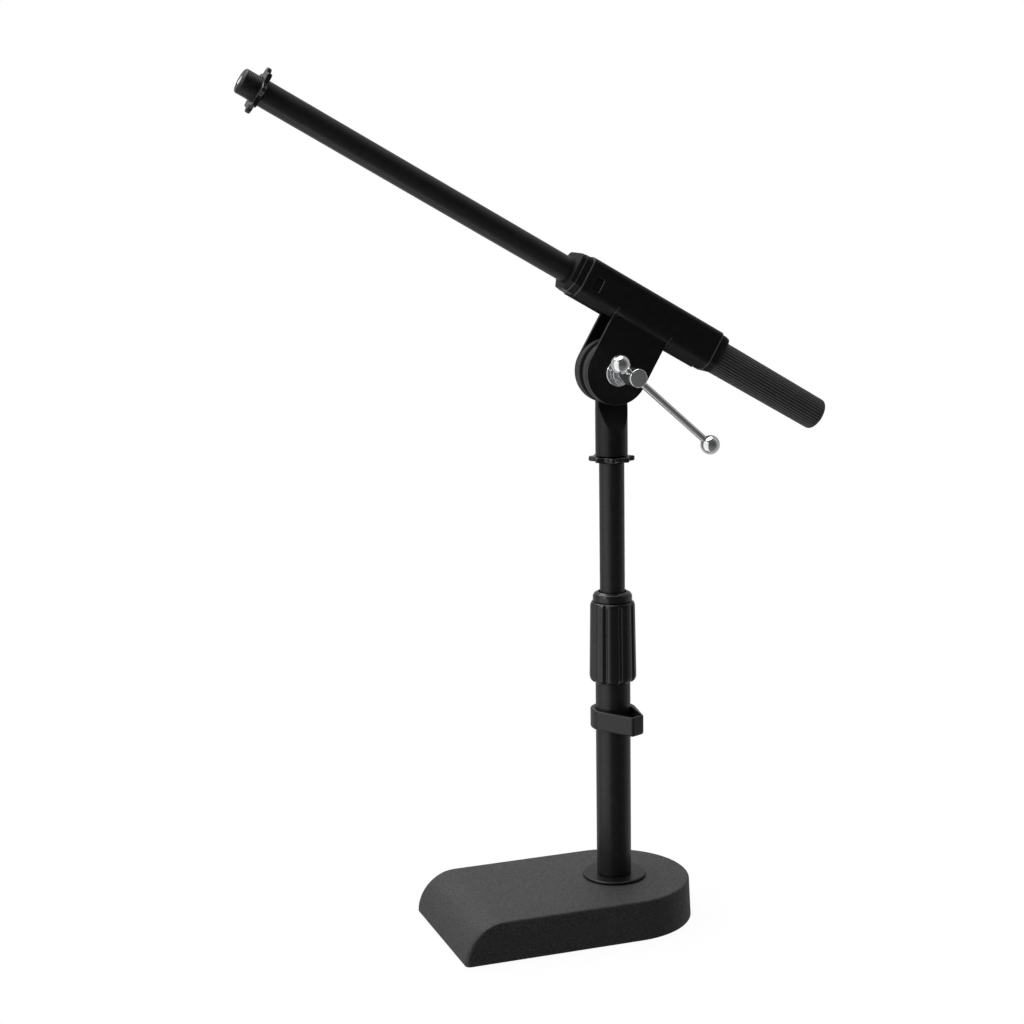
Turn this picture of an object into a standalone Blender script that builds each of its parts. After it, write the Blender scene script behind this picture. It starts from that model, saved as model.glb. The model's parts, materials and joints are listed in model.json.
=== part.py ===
"""Table-top boom microphone stand: weighted base, telescoping pole, swivel clamp and boom.

Metres, +Z up.  The origin is on the floor under the pole's axis.  The long base points along -X,
the boom lies in the XZ plane with its threaded tip up towards -X, and the clamp's T-bar is on -Y.
"""

import math

import bmesh
import bpy
from mathutils import Matrix, Vector

# ---- fits -------------------------------------------------------------------
GAP = 0.0003            # between faces that touch
RUN = 0.0003            # radial play of a piece that turns or slides
OVER = 0.004            # how far a cutter runs past the face it cuts
LOBE_STEPS = 8          # points along one lobe of a fluted or scalloped piece

# ---- base -------------------------------------------------------------------
BASE_HALF = 0.0513      # half width at the floor, and the radius of the round rear
BASE_REAR = -0.0018     # centre of the round rear, along X
BASE_FRONT = 0.1185     # from the pole's axis to the front edge
BASE_TOP = 0.0262
BASE_FLOOR = 0.0005     # the pad stands this much proud of the casting
BASE_DRAFT = 0.0012     # how much narrower each side is at the top
NOSE_R = 0.0250         # quarter round of the front edge
BASE_CORNER = 0.0030
BASE_EDGE = 0.0018
PAD_INSET = 0.0060
PAD_TOP = 0.0020
BOLT_R = 0.0039
BOLT_HOLE_R = 0.0045
BOLT_HEAD_Z = 0.0028
BOLT_HEAD_H = 0.0053
BOLT_TOP = 0.0365
BOLT_FLATS = 0.0130
COUNTERBORE_R = 0.0100
WASHER_R = 0.0090
WASHER_T = 0.0015
FLANGE_R = 0.0204
FLANGE_T = 0.0018

# ---- pole -------------------------------------------------------------------
LOWER_R = 0.0111        # 7/8 inch tube
UPPER_R = 0.00795       # 5/8 inch tube
LOWER_WALL = 0.0012
UPPER_WALL = 0.0010
LOWER_TOP = 0.1860
PLUG_TOP = 0.0400
TAIL_Z = 0.1230
TAIL_H = 0.0120
UPPER_BOTTOM = 0.1230
UPPER_TOP = 0.2975
STUD_BOTTOM = 0.2750
STUD_TOP = 0.3130
STUD_R = 0.0078         # 5/8 inch thread
CLIP_Z = 0.1263
CLIP_H = 0.0125
CLIP_R = 0.0146
CLIP_WALL = 0.0019
CLIP_NOSE = ((0.0014, -0.0284), (0.0114, -0.0241))
CLIP_CORNER = 0.0016
CLIP_EASE = 0.0010

# ---- twist clutch -----------------------------------------------------------
CLUTCH_Z = 0.1568
CLUTCH_TOP = 0.2087
CLUTCH_FOOT_R = 0.0150
CLUTCH_HEAD_R = 0.0143
CLUTCH_LOBES = 9
CLUTCH_PHASE = math.radians(-10.4)     # a groove's bearing from X
CLUTCH_GROOVE = 0.0011
CLUTCH_BORE = 0.0126
CLUTCH_MOUTH = 0.0115   # narrower bore below the seat
CLUTCH_THROAT = 0.0101
SEAT_Z = 0.1660
SEAT_R = 0.0123
SEAT_LIP = 0.0040
COLLET_TOP = 0.2040
COLLET_FOOT_R = 0.0112
COLLET_HEAD_R = 0.0096
COLLET_SLOT = 0.0016
CLUTCH_RING_R = 0.0125
CLUTCH_RING_H = 0.0063

# ---- lock rings -------------------------------------------------------------
RING_R = 0.0144
RING_ROOT = 0.0114
RING_T = 0.0031
RING_LOBES = 8
POLE_RING_Z = 0.2984
POLE_RING_TURN = math.radians(-19.6)

# ---- swivel and clamp -------------------------------------------------------
PIVOT_Z = 0.3545        # height of the tilt axis, which runs along Y
BOOM_ANGLE = math.radians(30.0)
BOOM_RISE = 0.0406      # from the tilt axis to the boom's axis
SWIVEL_Z = 0.3018
SWIVEL_R = 0.01015
SWIVEL_BORE = 0.0140
SHOULDER_Z = 0.3170     # where the flats start to cut into the round
SHOULDER_TOP = 0.3335
TANG_HALF = 0.00275
TANG_R = 0.0186
DISC_R = 0.0203
DISC_T = 0.0055
SHEET = 0.0020
EAR_FACE = 0.0109       # outer face of an ear, from the middle plane
EAR_R = 0.0201
BORE_R = 0.0043
BARREL_FRONT = 0.0483   # towards the tip, from the tilt axis
BARREL_REAR = 0.0513
BARREL_HALF = 0.0134
BARREL_TOP = 0.0138
BARREL_BEND = 0.0040
BARREL_KINK = -0.0072   # height at which a side's and a lip's planes would meet
LIP_BEND = 0.0050       # outer radius of the fold between them, through 45 degrees
EAR_BEND = 0.0020       # radius of the fold back to an ear's plane
LIP_Y = 0.0080          # inner edge of the barrel's turned-in lips
EAR_START = -0.0140     # where an ear's round outline takes over, from the boom's axis
RELIEF = 0.00025
WINDOW_U = 0.0391
WINDOW_LONG = 0.0058
WINDOW_TALL = 0.0086
SHANK_R = 0.0039
COLLAR_R = 0.0056
COLLAR_END = 0.0170
HEAD_START = 0.0310
HEAD_END = 0.0441
HEAD_R = 0.0057
SHANK_END = 0.0190
SCREW_WASHER_R = 0.00825
NUT_FLATS = 0.0130
NUT_T = 0.0065
BAR_Y = 0.0378
BAR_R = 0.0022
BAR_HOLE_R = 0.0026
BAR_ANGLE = math.radians(41.5)
BALL_R = 0.0063
BALL_NEAR = 0.0122      # upper ball's centre, from the screw's axis
BALL_FAR = 0.0664
BAR_IN_BALL = 0.0020

# ---- boom: distances from the foot of the tilt axis, positive towards the tip ---
BOOM_R = 0.00795
BOOM_WALL = 0.0010
BOOM_FRONT = 0.2705
BOOM_REAR = -0.1380
TIP_END = 0.2852
TIP_SPIGOT = 0.2500
TIP_RING = 0.2714
GRIP_R = 0.0109         # at its front end
GRIP_TAIL_R = 0.0104
GRIP_FRONT = -0.0577
GRIP_END = -0.1417
BUSH_BORE = 0.0082
BUSH_BODY = 0.0165      # length of a bush inside the barrel
BUSH_SLANT = 0.0200     # y minus h on a bush's lower chamfer, before its inset
BUSH_FRONT = (0.0045, 0.0078)       # a collar's full-size length and its whole length
BUSH_REAR = (0.0040, 0.0060)
COLLAR_TOP = 0.0132
COLLAR_BOTTOM = -0.0124
COLLAR_SLANT = 0.0197
COLLAR_CORNER = 0.0050
COLLAR_TAPER = 0.0009   # how much smaller a collar's end face is all round
PLUG_LONG = 0.0160


# ---- small tools ------------------------------------------------------------
def clear_scene():
    for obj in list(bpy.data.objects):
        bpy.data.objects.remove(obj, do_unlink=True)


def new_collection(name):
    made = bpy.data.collections.new(name)
    bpy.context.scene.collection.children.link(made)
    return made


def principled(name, colour, roughness, metallic=0.0):
    made = bpy.data.materials.new(name)
    made.use_nodes = True
    shader = made.node_tree.nodes["Principled BSDF"]
    shader.inputs["Base Color"].default_value = (*colour, 1.0)
    shader.inputs["Roughness"].default_value = roughness
    shader.inputs["Metallic"].default_value = metallic
    return made


def axis_empty(name, location, rotation=(0.0, 0.0, 0.0), parent=None):
    """A frame that moving pieces hang from."""
    made = bpy.data.objects.new(name, None)
    PARTS.objects.link(made)
    made.parent = parent
    made.location = location
    made.rotation_euler = rotation
    return made


def add_piece(name, mesh, material, parent=None, location=(0.0, 0.0, 0.0)):
    made = bpy.data.objects.new(name, mesh)
    PARTS.objects.link(made)
    made.parent = parent
    made.location = location
    if material:
        mesh.materials.append(material)
    return made


def make_cutter(obj):
    """Takes a finished object out of the assembly and keeps it as a Boolean's tool."""
    PARTS.objects.unlink(obj)
    CUTTERS.objects.link(obj)
    obj.hide_render = True
    obj.display_type = "WIRE"
    return obj


def combine(obj, tool, operation):
    modifier = obj.modifiers.new(operation.lower(), "BOOLEAN")
    modifier.operation = operation
    modifier.solver = "EXACT"
    modifier.object = make_cutter(tool)


def turned(name, profile, material, parent=None, steps=40):
    """Spins (radius, height) points about local Z.  The profile runs down its outer side.

    A profile that ends on the axis makes a solid; any other is closed into a ring.
    """
    mesh = bpy.data.meshes.new(name)
    verts = [(radius, 0.0, height) for radius, height in profile]
    edges = [(i, i + 1) for i in range(len(verts) - 1)]
    if profile[0][0] > 0.0:
        edges.append((len(verts) - 1, 0))
    mesh.from_pydata(verts, edges, [])
    obj = add_piece(name, mesh, material, parent)
    screw = obj.modifiers.new("turn", "SCREW")
    screw.axis = "Z"
    screw.angle = math.tau
    screw.steps = steps
    screw.render_steps = steps
    screw.use_merge_vertices = True
    screw.merge_threshold = 1e-6
    screw.use_smooth_shade = True
    return obj


def rod(name, radius, low, high, material=None, parent=None, edge=0.0, steps=40):
    """A solid cylinder along local Z, with chamfered ends if an edge is given."""
    profile = [(0.0, high), (radius - edge, high), (radius, high - edge)]
    profile += [(radius, low + edge), (radius - edge, low), (0.0, low)]
    if edge == 0.0:
        profile = [(0.0, high), (radius, high), (radius, low), (0.0, low)]
    return turned(name, profile, material, parent, steps)


def ring(name, outer, inner, low, high, material, parent=None, edge=0.0, steps=40):
    """A tube along local Z, with its outer edges chamfered if an edge is given."""
    profile = [(outer - edge, high), (outer, high - edge), (outer, low + edge), (outer - edge, low)]
    if edge == 0.0:
        profile = [(outer, high), (outer, low)]
    return turned(name, profile + [(inner, low), (inner, high)], material, parent, steps=steps)


def block(name, low, high, parent=None):
    """A box between two corners."""
    mesh = bpy.data.meshes.new(name)
    bm = bmesh.new()
    size = Vector(high) - Vector(low)
    centre = (Vector(high) + Vector(low)) / 2.0
    place = Matrix.Translation(centre) @ Matrix.Diagonal((*size, 1.0))
    bmesh.ops.create_cube(bm, size=1.0, matrix=place)
    bm.to_mesh(mesh)
    bm.free()
    return add_piece(name, mesh, None, parent)


def hexagon(name, flats, low, high, material=None, parent=None):
    """A hexagonal prism along local Z."""
    mesh = bpy.data.meshes.new(name)
    bm = bmesh.new()
    radius = flats / math.sqrt(3.0)
    place = Matrix.Translation((0.0, 0.0, (low + high) / 2.0))
    bmesh.ops.create_cone(bm, cap_ends=True, segments=6, radius1=radius, radius2=radius,
                          depth=high - low, matrix=place)
    bm.to_mesh(mesh)
    bm.free()
    return add_piece(name, mesh, material, parent)


def loft(name, loops, material=None, parent=None, closed=False):
    """Joins loops of equal length.  They run downwards, each one anticlockwise seen from above.

    Open lofts are capped at both ends; closed ones join the last loop to the first.
    """
    mesh = bpy.data.meshes.new(name)
    bm = bmesh.new()
    rows = [[bm.verts.new(point) for point in loop] for loop in loops]
    pairs = list(zip(rows, rows[1:]))
    if closed:
        pairs.append((rows[-1], rows[0]))
    count = len(rows[0])
    for upper, lower in pairs:
        for i in range(count):
            j = (i + 1) % count
            bm.faces.new((upper[i], lower[i], lower[j], upper[j]))
    if not closed:
        bm.faces.new(rows[0])
        bm.faces.new(list(reversed(rows[-1])))
    bm.to_mesh(mesh)
    bm.free()
    mesh.shade_smooth()
    mesh.set_sharp_from_angle(angle=math.radians(35.0))
    return add_piece(name, mesh, material, parent)


def extruded(name, outline, low, high, material=None, parent=None):
    """A prism of an anticlockwise (x, y) outline between two heights."""
    loops = [[(x, y, height) for x, y in outline] for height in (high, low)]
    return loft(name, loops, material, parent)


def arc(centre, radius, start, end, count):
    """Points on a circle from one angle to another, both included."""
    step = (end - start) / count
    angles = [start + step * i for i in range(count + 1)]
    return [(centre[0] + radius * math.cos(a), centre[1] + radius * math.sin(a)) for a in angles]


def resampled(outline, count):
    """The closed outline as evenly spaced points, starting from its first one."""
    closed = outline + outline[:1]
    lengths = [math.dist(a, b) for a, b in zip(closed, closed[1:])]
    step = sum(lengths) / count
    points, travelled, side = [], 0.0, 0
    for i in range(count):
        while travelled + lengths[side] < i * step:
            travelled += lengths[side]
            side += 1
        share = (i * step - travelled) / lengths[side]
        start, end = closed[side], closed[side + 1]
        points.append(tuple(a + (b - a) * share for a, b in zip(start, end)))
    return points


# ---- base -------------------------------------------------------------------
def nose_x(height):
    """The front edge of the casting at a height, on its quarter round."""
    centre_z = BASE_TOP - NOSE_R
    if height <= centre_z:
        return -BASE_FRONT
    rise = min(height - centre_z, NOSE_R)
    return -(BASE_FRONT - NOSE_R) - math.sqrt(NOSE_R ** 2 - rise ** 2)


def base_outline(half, front, corner):
    """The plan of the base: square front with small corners, half-round rear."""
    points = arc((BASE_REAR, 0.0), half, -math.pi / 2, math.pi / 2, 28)
    points += arc((front + corner, half - corner), corner, math.pi / 2, math.pi, 4)
    points += arc((front + corner, corner - half), corner, math.pi, 1.5 * math.pi, 4)
    return points


def base_section(height):
    half = BASE_HALF - BASE_DRAFT * height / BASE_TOP
    over = max(0.0, height - (BASE_TOP - BASE_EDGE))
    half -= BASE_EDGE - math.sqrt(BASE_EDGE ** 2 - over ** 2)
    return [(x, y, height) for x, y in base_outline(half, nose_x(height), BASE_CORNER)]


def pad_outline(inset):
    return base_outline(BASE_HALF - inset, inset - BASE_FRONT, BASE_CORNER)


def make_base(iron, rubber, steel):
    levels = [BASE_TOP - BASE_EDGE * (1.0 - math.sin(a * math.pi / 8)) for a in (4, 3, 2, 1, 0)]
    levels += [BASE_TOP * share for share in (0.86, 0.77, 0.66, 0.54, 0.40, 0.24, 0.10)]
    levels.append(BASE_FLOOR)
    casting = loft("base_casting", [base_section(height) for height in levels], iron)
    recess = extruded("pad_recess", pad_outline(PAD_INSET), -OVER, PAD_TOP + GAP)
    combine(casting, recess, "DIFFERENCE")
    washer_z = BOLT_HEAD_Z + BOLT_HEAD_H + GAP
    counterbore = rod("counterbore", COUNTERBORE_R, -OVER, washer_z + WASHER_T + GAP)
    combine(casting, counterbore, "DIFFERENCE")
    combine(casting, rod("bolt_hole", BOLT_HOLE_R, -OVER, BASE_TOP + OVER), "DIFFERENCE")
    extruded("base_pad", pad_outline(PAD_INSET + GAP), 0.0, PAD_TOP, rubber)
    bolt = rod("base_bolt", BOLT_R, BOLT_HEAD_Z + BOLT_HEAD_H / 2, BOLT_TOP, steel, edge=0.0006)
    head = hexagon("bolt_head", BOLT_FLATS, BOLT_HEAD_Z, BOLT_HEAD_Z + BOLT_HEAD_H)
    combine(bolt, head, "UNION")
    ring("base_washer", WASHER_R, BOLT_HOLE_R, washer_z, washer_z + WASHER_T, steel)


# ---- pole -------------------------------------------------------------------
def make_lower_pole(black, steel, plastic):
    flange_z = BASE_TOP + GAP
    ring("foot_flange", FLANGE_R, BOLT_HOLE_R, flange_z, flange_z + FLANGE_T, black, edge=0.0005)
    foot = flange_z + FLANGE_T + GAP
    bore = LOWER_R - LOWER_WALL
    ring("lower_tube", LOWER_R, bore, foot, LOWER_TOP, black)
    plug_r = bore - GAP
    thread_top = BOLT_TOP + 2 * GAP
    turned("foot_plug", [(0.0, PLUG_TOP), (plug_r, PLUG_TOP), (plug_r, foot), (BOLT_HOLE_R, foot),
                         (BOLT_HOLE_R, thread_top), (0.0, thread_top)], steel)
    seat_in = LOWER_R + GAP
    shelf = LOWER_TOP + GAP
    lip = UPPER_R + 2 * RUN
    turned("clutch_seat", [(SEAT_R, shelf + SEAT_LIP), (SEAT_R, SEAT_Z), (seat_in, SEAT_Z),
                           (seat_in, shelf), (lip, shelf), (lip, shelf + SEAT_LIP)], steel)
    collet_z = shelf + SEAT_LIP + GAP
    collet_in = UPPER_R + RUN
    collet = turned("clutch_collet", [(COLLET_HEAD_R, COLLET_TOP), (COLLET_FOOT_R, collet_z),
                                      (collet_in, collet_z), (collet_in, COLLET_TOP)], plastic)
    half = COLLET_SLOT / 2
    slot = block("collet_slot", (0.0, -half, collet_z - OVER), (0.02, half, COLLET_TOP + OVER))
    combine(collet, slot, "DIFFERENCE")


def clutch_loop(height, radius, inset):
    """A fluted section: broad pads between narrow grooves."""
    count = CLUTCH_LOBES * LOBE_STEPS
    loop = []
    for i in range(count):
        turn = math.tau * i / count + CLUTCH_PHASE
        groove = abs(math.cos((turn - CLUTCH_PHASE) * CLUTCH_LOBES / 2)) ** 10
        r = radius - inset - CLUTCH_GROOVE * groove
        loop.append((r * math.cos(turn), r * math.sin(turn), height))
    return loop


def round_loop(height, radius, count, phase=0.0):
    angles = [math.tau * i / count + phase for i in range(count)]
    return [(radius * math.cos(a), radius * math.sin(a), height) for a in angles]


def make_clutch(gloss):
    count = CLUTCH_LOBES * LOBE_STEPS
    loops = [round_loop(CLUTCH_TOP, CLUTCH_RING_R, count, CLUTCH_PHASE),
             clutch_loop(CLUTCH_TOP - 0.0012, CLUTCH_HEAD_R, 0.0005),
             clutch_loop(CLUTCH_TOP - 0.0028, CLUTCH_HEAD_R, 0.0),
             clutch_loop(CLUTCH_Z + 0.0040, CLUTCH_FOOT_R, 0.0),
             clutch_loop(CLUTCH_Z + 0.0014, CLUTCH_FOOT_R, 0.0007),
             clutch_loop(CLUTCH_Z, CLUTCH_FOOT_R, 0.0019)]
    step_z = SEAT_Z - 2 * GAP
    cone_z = LOWER_TOP + SEAT_LIP + 3 * GAP
    bore = [(CLUTCH_Z, CLUTCH_MOUTH), (step_z, CLUTCH_MOUTH), (step_z, CLUTCH_BORE),
            (cone_z, CLUTCH_BORE), (COLLET_TOP, CLUTCH_THROAT), (CLUTCH_TOP, CLUTCH_THROAT)]
    loops += [round_loop(height, radius, count, CLUTCH_PHASE) for height, radius in bore]
    loft("clutch_sleeve", loops, gloss, closed=True)
    low = CLUTCH_TOP + GAP
    high = low + CLUTCH_RING_H
    hole = UPPER_R + 3 * RUN
    turned("clutch_ring", [(hole + 0.0006, high), (CLUTCH_RING_R - 0.0006, high - 0.0018),
                           (CLUTCH_RING_R, high - 0.0026), (CLUTCH_RING_R, low), (hole, low),
                           (hole, high - 0.0006)], gloss)


def clip_outline(radius, inset):
    """Round the tube at the back, with two straight walls running to a flat nose in front."""
    corners = []
    (ax, ay), (bx, by) = CLIP_NOSE
    along = Vector((bx - ax, by - ay)).normalized()
    outward = Vector((along.y, -along.x))
    round_r = max(CLIP_CORNER - inset, 0.0004)
    for x, y, side in ((ax, ay, 1.0), (bx, by, -1.0)):
        centre = Vector((x, y)) - outward * CLIP_CORNER + along * side * CLIP_CORNER
        corners.append((centre, round_r))
    centres = [(Vector((0.0, 0.0)), radius)] + corners
    tangents = []
    for (c0, r0), (c1, r1) in zip(centres, centres[1:] + centres[:1]):
        gap = c1 - c0
        lean = math.acos((r0 - r1) / gap.length)
        tangents.append(math.atan2(gap.y, gap.x) - lean)
    points = []
    for i, (centre, r) in enumerate(centres):
        start, end = tangents[i - 1], tangents[i]
        while end < start:
            end += math.tau
        points += arc(tuple(centre), r, start, end, 30 if i == 0 else 4)
    return points


def make_clip(plastic):
    count = 72
    top = CLIP_Z + CLIP_H
    outer = resampled(clip_outline(CLIP_R, 0.0), count)
    foot = resampled(clip_outline(CLIP_R - CLIP_EASE, CLIP_EASE), count)
    inner = resampled(clip_outline(LOWER_R + RUN, CLIP_WALL), count)
    levels = ((outer, top), (outer, CLIP_Z + 2 * CLIP_EASE), (foot, CLIP_Z), (inner, CLIP_Z),
              (inner, top))
    loops = [[(x, y, height) for x, y in outline] for outline, height in levels]
    loft("cable_clip", loops, plastic, closed=True)


def make_upper_pole(black, steel, plastic, slide, turn):
    inner = UPPER_R - UPPER_WALL
    ring("tail_bush", LOWER_R - LOWER_WALL - RUN, UPPER_R + RUN, TAIL_Z, TAIL_Z + TAIL_H, plastic,
         slide)
    ring("upper_tube", UPPER_R, inner, UPPER_BOTTOM, UPPER_TOP, black, turn)
    spigot = inner - GAP
    shoulder = UPPER_TOP + GAP
    turned("pole_stud", [(0.0, STUD_TOP), (STUD_R - 0.0008, STUD_TOP), (STUD_R, STUD_TOP - 0.0008),
                         (STUD_R, shoulder), (spigot, shoulder), (spigot, STUD_BOTTOM),
                         (0.0, STUD_BOTTOM)], steel, turn)


def ring_loop(height, inset):
    """The scalloped outline of a lock ring."""
    count = RING_LOBES * LOBE_STEPS
    loop = []
    for i in range(count):
        turn = math.tau * i / count
        lobe = (0.5 + 0.5 * math.cos(turn * RING_LOBES)) ** 1.3
        r = RING_ROOT + (RING_R - RING_ROOT) * lobe - inset
        loop.append((r * math.cos(turn), r * math.sin(turn), height))
    return loop


def make_lock_ring(name, low, material, parent, turn=0.0):
    count = RING_LOBES * LOBE_STEPS
    edge = 0.0006
    high = low + RING_T
    bore = STUD_R + RUN
    loops = [ring_loop(high, edge), ring_loop(high - edge, 0.0), ring_loop(low + edge, 0.0),
             ring_loop(low, edge), round_loop(low, bore, count), round_loop(high, bore, count)]
    made = loft(name, loops, material, parent, closed=True)
    made.rotation_euler = (0.0, 0.0, turn)


# ---- swivel and clamp -------------------------------------------------------
def make_swivel(black, parent):
    """A round socket whose top is milled down to a thin round tang."""
    body = rod("pivot_base", SWIVEL_R, SWIVEL_Z, PIVOT_Z, black, parent)
    head = rod("tang_disc", TANG_R, -SWIVEL_R, SWIVEL_R)
    head.location = (0.0, 0.0, PIVOT_Z)
    head.rotation_euler = (math.pi / 2, 0.0, 0.0)
    combine(body, head, "UNION")
    wide = SWIVEL_R + OVER
    tall = PIVOT_Z + TANG_R + OVER
    slope = (SHOULDER_TOP - SHOULDER_Z) / (SWIVEL_R - TANG_HALF)
    foot = SHOULDER_Z - slope * OVER
    for side in (-1.0, 1.0):
        flat = [(TANG_HALF, tall), (TANG_HALF, SHOULDER_TOP), (wide, foot), (wide, tall)]
        far, near = (TANG_R + OVER), -(TANG_R + OVER)
        rows = [[(x, side * y, z) for y, z in flat] for x in (far, near)]
        if side < 0.0:
            rows = [list(reversed(row)) for row in rows]
        combine(body, loft(f"swivel_flat_{side:+.0f}", rows), "DIFFERENCE")
    combine(body, rod("stud_socket", STUD_R + RUN, SWIVEL_Z - OVER, SWIVEL_Z + SWIVEL_BORE),
            "DIFFERENCE")
    bore = rod("swivel_bore", BORE_R, -SWIVEL_R, SWIVEL_R)
    bore.location = (0.0, 0.0, PIVOT_Z)
    bore.rotation_euler = (math.pi / 2, 0.0, 0.0)
    combine(body, bore, "DIFFERENCE")


def bracket_section():
    """Half of the sheet's outer section, as (y, h) from the boom's axis, top to the lower fold."""
    points = [(0.0, BARREL_TOP)]
    centre = (BARREL_HALF - BARREL_BEND, BARREL_TOP - BARREL_BEND)
    points += arc(centre, BARREL_BEND, math.pi / 2, 0.0, 5)
    points.append((BARREL_HALF, fold_start()))
    return points


def fold_start():
    """Height at which a side starts to fold inwards."""
    return BARREL_KINK + LIP_BEND * math.tan(math.pi / 8)


def mirrored(points):
    """A half section continued on its other side, from -y to +y."""
    return [(-y, h) for y, h in reversed(points[1:])] + points


def fold_points():
    """The lower fold, from a flat side to 45 degrees, as (y, h)."""
    centre = (BARREL_HALF - LIP_BEND, fold_start())
    return arc(centre, LIP_BEND, 0.0, -math.pi / 4, 4)


def lip_points():
    """A side's fold and the turned-in lip below it, as (y, h)."""
    return fold_points() + [(LIP_Y, BARREL_KINK - (BARREL_HALF - LIP_Y))]


def neck_points():
    """The same fold, then a second one back to an ear's plane, as (y, h)."""
    foot = BARREL_KINK - (BARREL_HALF - EAR_FACE) - EAR_BEND * math.tan(math.pi / 8)
    back = arc((EAR_FACE + EAR_BEND, foot), EAR_BEND, 0.75 * math.pi, math.pi, 3)
    return fold_points() + back + [(EAR_FACE, EAR_START)]


def sheet_strip(bm, points, u_low, u_high, grid):
    """Quads along a section between two stations, sharing vertices that are already there."""
    def vertex(u, y, h):
        key = (round(u, 6), round(y, 6), round(h, 6))
        if key not in grid:
            grid[key] = bm.verts.new((u, y, h + BOOM_RISE))
        return grid[key]

    for (y0, h0), (y1, h1) in zip(points, points[1:]):
        bm.faces.new((vertex(u_low, y0, h0), vertex(u_high, y0, h0),
                      vertex(u_high, y1, h1), vertex(u_low, y1, h1)))


def make_bracket(black, parent):
    bm = bmesh.new()
    grid = {}
    stations = [-BARREL_FRONT, -EAR_R - RELIEF, -EAR_R, EAR_R, EAR_R + RELIEF, BARREL_REAR]
    whole = mirrored(bracket_section())
    for low, high in zip(stations, stations[1:]):
        sheet_strip(bm, whole, low, high, grid)
    for side in (-1.0, 1.0):
        lip = [(side * y, h) for y, h in lip_points()]
        neck = [(side * y, h) for y, h in neck_points()]
        if side < 0.0:
            lip.reverse()
            neck.reverse()
        sheet_strip(bm, lip, stations[0], stations[1], grid)
        sheet_strip(bm, lip, stations[4], stations[5], grid)
        sheet_strip(bm, neck, stations[2], stations[3], grid)
        y = side * EAR_FACE
        top = [grid[(round(u, 6), round(y, 6), round(EAR_START, 6))] for u in (EAR_R, -EAR_R)]
        rim = arc((0.0, 0.0), EAR_R, math.pi, math.tau, 32)
        face = top + [bm.verts.new((u, y, h)) for u, h in rim]
        bm.faces.new(face if side > 0.0 else list(reversed(face)))
    mesh = bpy.data.meshes.new("clamp_bracket")
    bmesh.ops.recalc_face_normals(bm, faces=bm.faces)
    bm.to_mesh(mesh)
    bm.free()
    mesh.shade_smooth()
    mesh.set_sharp_from_angle(angle=math.radians(40.0))
    bracket = add_piece("clamp_bracket", mesh, black, parent)
    skin = bracket.modifiers.new("sheet", "SOLIDIFY")
    skin.thickness = SHEET
    skin.offset = -1.0
    skin.use_even_offset = True
    bore = rod("bracket_bore", BORE_R, -0.03, 0.03, parent=parent)
    bore.rotation_euler = (math.pi / 2, 0.0, 0.0)
    combine(bracket, bore, "DIFFERENCE")
    half_long = WINDOW_LONG / 2
    half_tall = WINDOW_TALL / 2
    window = block("bracket_window", (-WINDOW_U - half_long, -0.03, BOOM_RISE - half_tall),
                   (-WINDOW_U + half_long, 0.03, BOOM_RISE + half_tall), parent)
    combine(bracket, window, "DIFFERENCE")


def bush_outline(half, top, bottom, slant, corner):
    """The bushes' section, as (y, z) in the clamp's frame, anticlockwise seen from its rear."""
    right = [(slant + bottom, bottom), (half, half - slant)]
    right += arc((half - corner, top - corner), corner, 0.0, math.pi / 2, 3)
    left = [(-y, h) for y, h in reversed(right)]
    return [(y, h + BOOM_RISE) for y, h in right + left]


def body_outline():
    """Section of the part of a bush that fills the barrel."""
    inset = SHEET + GAP
    return bush_outline(BARREL_HALF - inset, BARREL_TOP - inset, inset + 0.0012 - BARREL_TOP,
                        BUSH_SLANT - inset * math.sqrt(2.0), 0.0015)


def collar_outline(inset):
    """Section of a bush's collar, which follows the barrel's outline."""
    return bush_outline(BARREL_HALF - inset, COLLAR_TOP - inset, COLLAR_BOTTOM + inset,
                        COLLAR_SLANT - inset * math.sqrt(2.0), COLLAR_CORNER - inset)


def bush_loft(name, sections, material, parent):
    """A solid through outlines given with their stations along the clamp's frame."""
    placed = sorted(sections, key=lambda section: section[0], reverse=True)
    rows = [[(u, y, z) for y, z in outline] for u, outline in placed]
    return loft(name, rows, material, parent)


def make_bush(name, out, barrel_end, lengths, with_lug, plastic, parent):
    """A flanged plastic liner at one end of the barrel; out is +1 at the rear, -1 in front.

    The front one has lugs that click into the barrel's windows.
    """
    full, whole = lengths
    body = ((barrel_end - out * BUSH_BODY, body_outline()),
            (barrel_end + out * 2 * GAP, body_outline()))
    piece = bush_loft(name, body, plastic, parent)
    collar = ((barrel_end + out * GAP, collar_outline(0.0)),
              (barrel_end + out * full, collar_outline(0.0)),
              (barrel_end + out * whole, collar_outline(COLLAR_TAPER)))
    lip = bush_loft(name + "_collar", collar, None, parent)
    combine(piece, lip, "UNION")
    if with_lug:
        half_long = WINDOW_LONG / 2 - GAP
        half_tall = WINDOW_TALL / 2 - GAP
        reach = BARREL_HALF - SHEET / 2
        lug = block("bush_lug", (-WINDOW_U - half_long, -reach, BOOM_RISE - half_tall),
                    (-WINDOW_U + half_long, reach, BOOM_RISE + half_tall), parent)
        combine(piece, lug, "UNION")
    bore = rod(name + "_bore", BUSH_BORE, -0.07, 0.07, parent=parent)
    bore.location = (0.0, 0.0, BOOM_RISE)
    bore.rotation_euler = (0.0, math.pi / 2, 0.0)
    combine(piece, bore, "DIFFERENCE")


def make_discs(rubber, parent):
    """Friction discs between the tang and the ears, about the clamp screw."""
    low = TANG_HALF + GAP
    for name, side in (("friction_disc_near", 1.0), ("friction_disc_far", -1.0)):
        faces = sorted((side * low, side * (low + DISC_T)))
        ring(name, DISC_R, BORE_R, *faces, rubber, parent, edge=0.0005)


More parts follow.
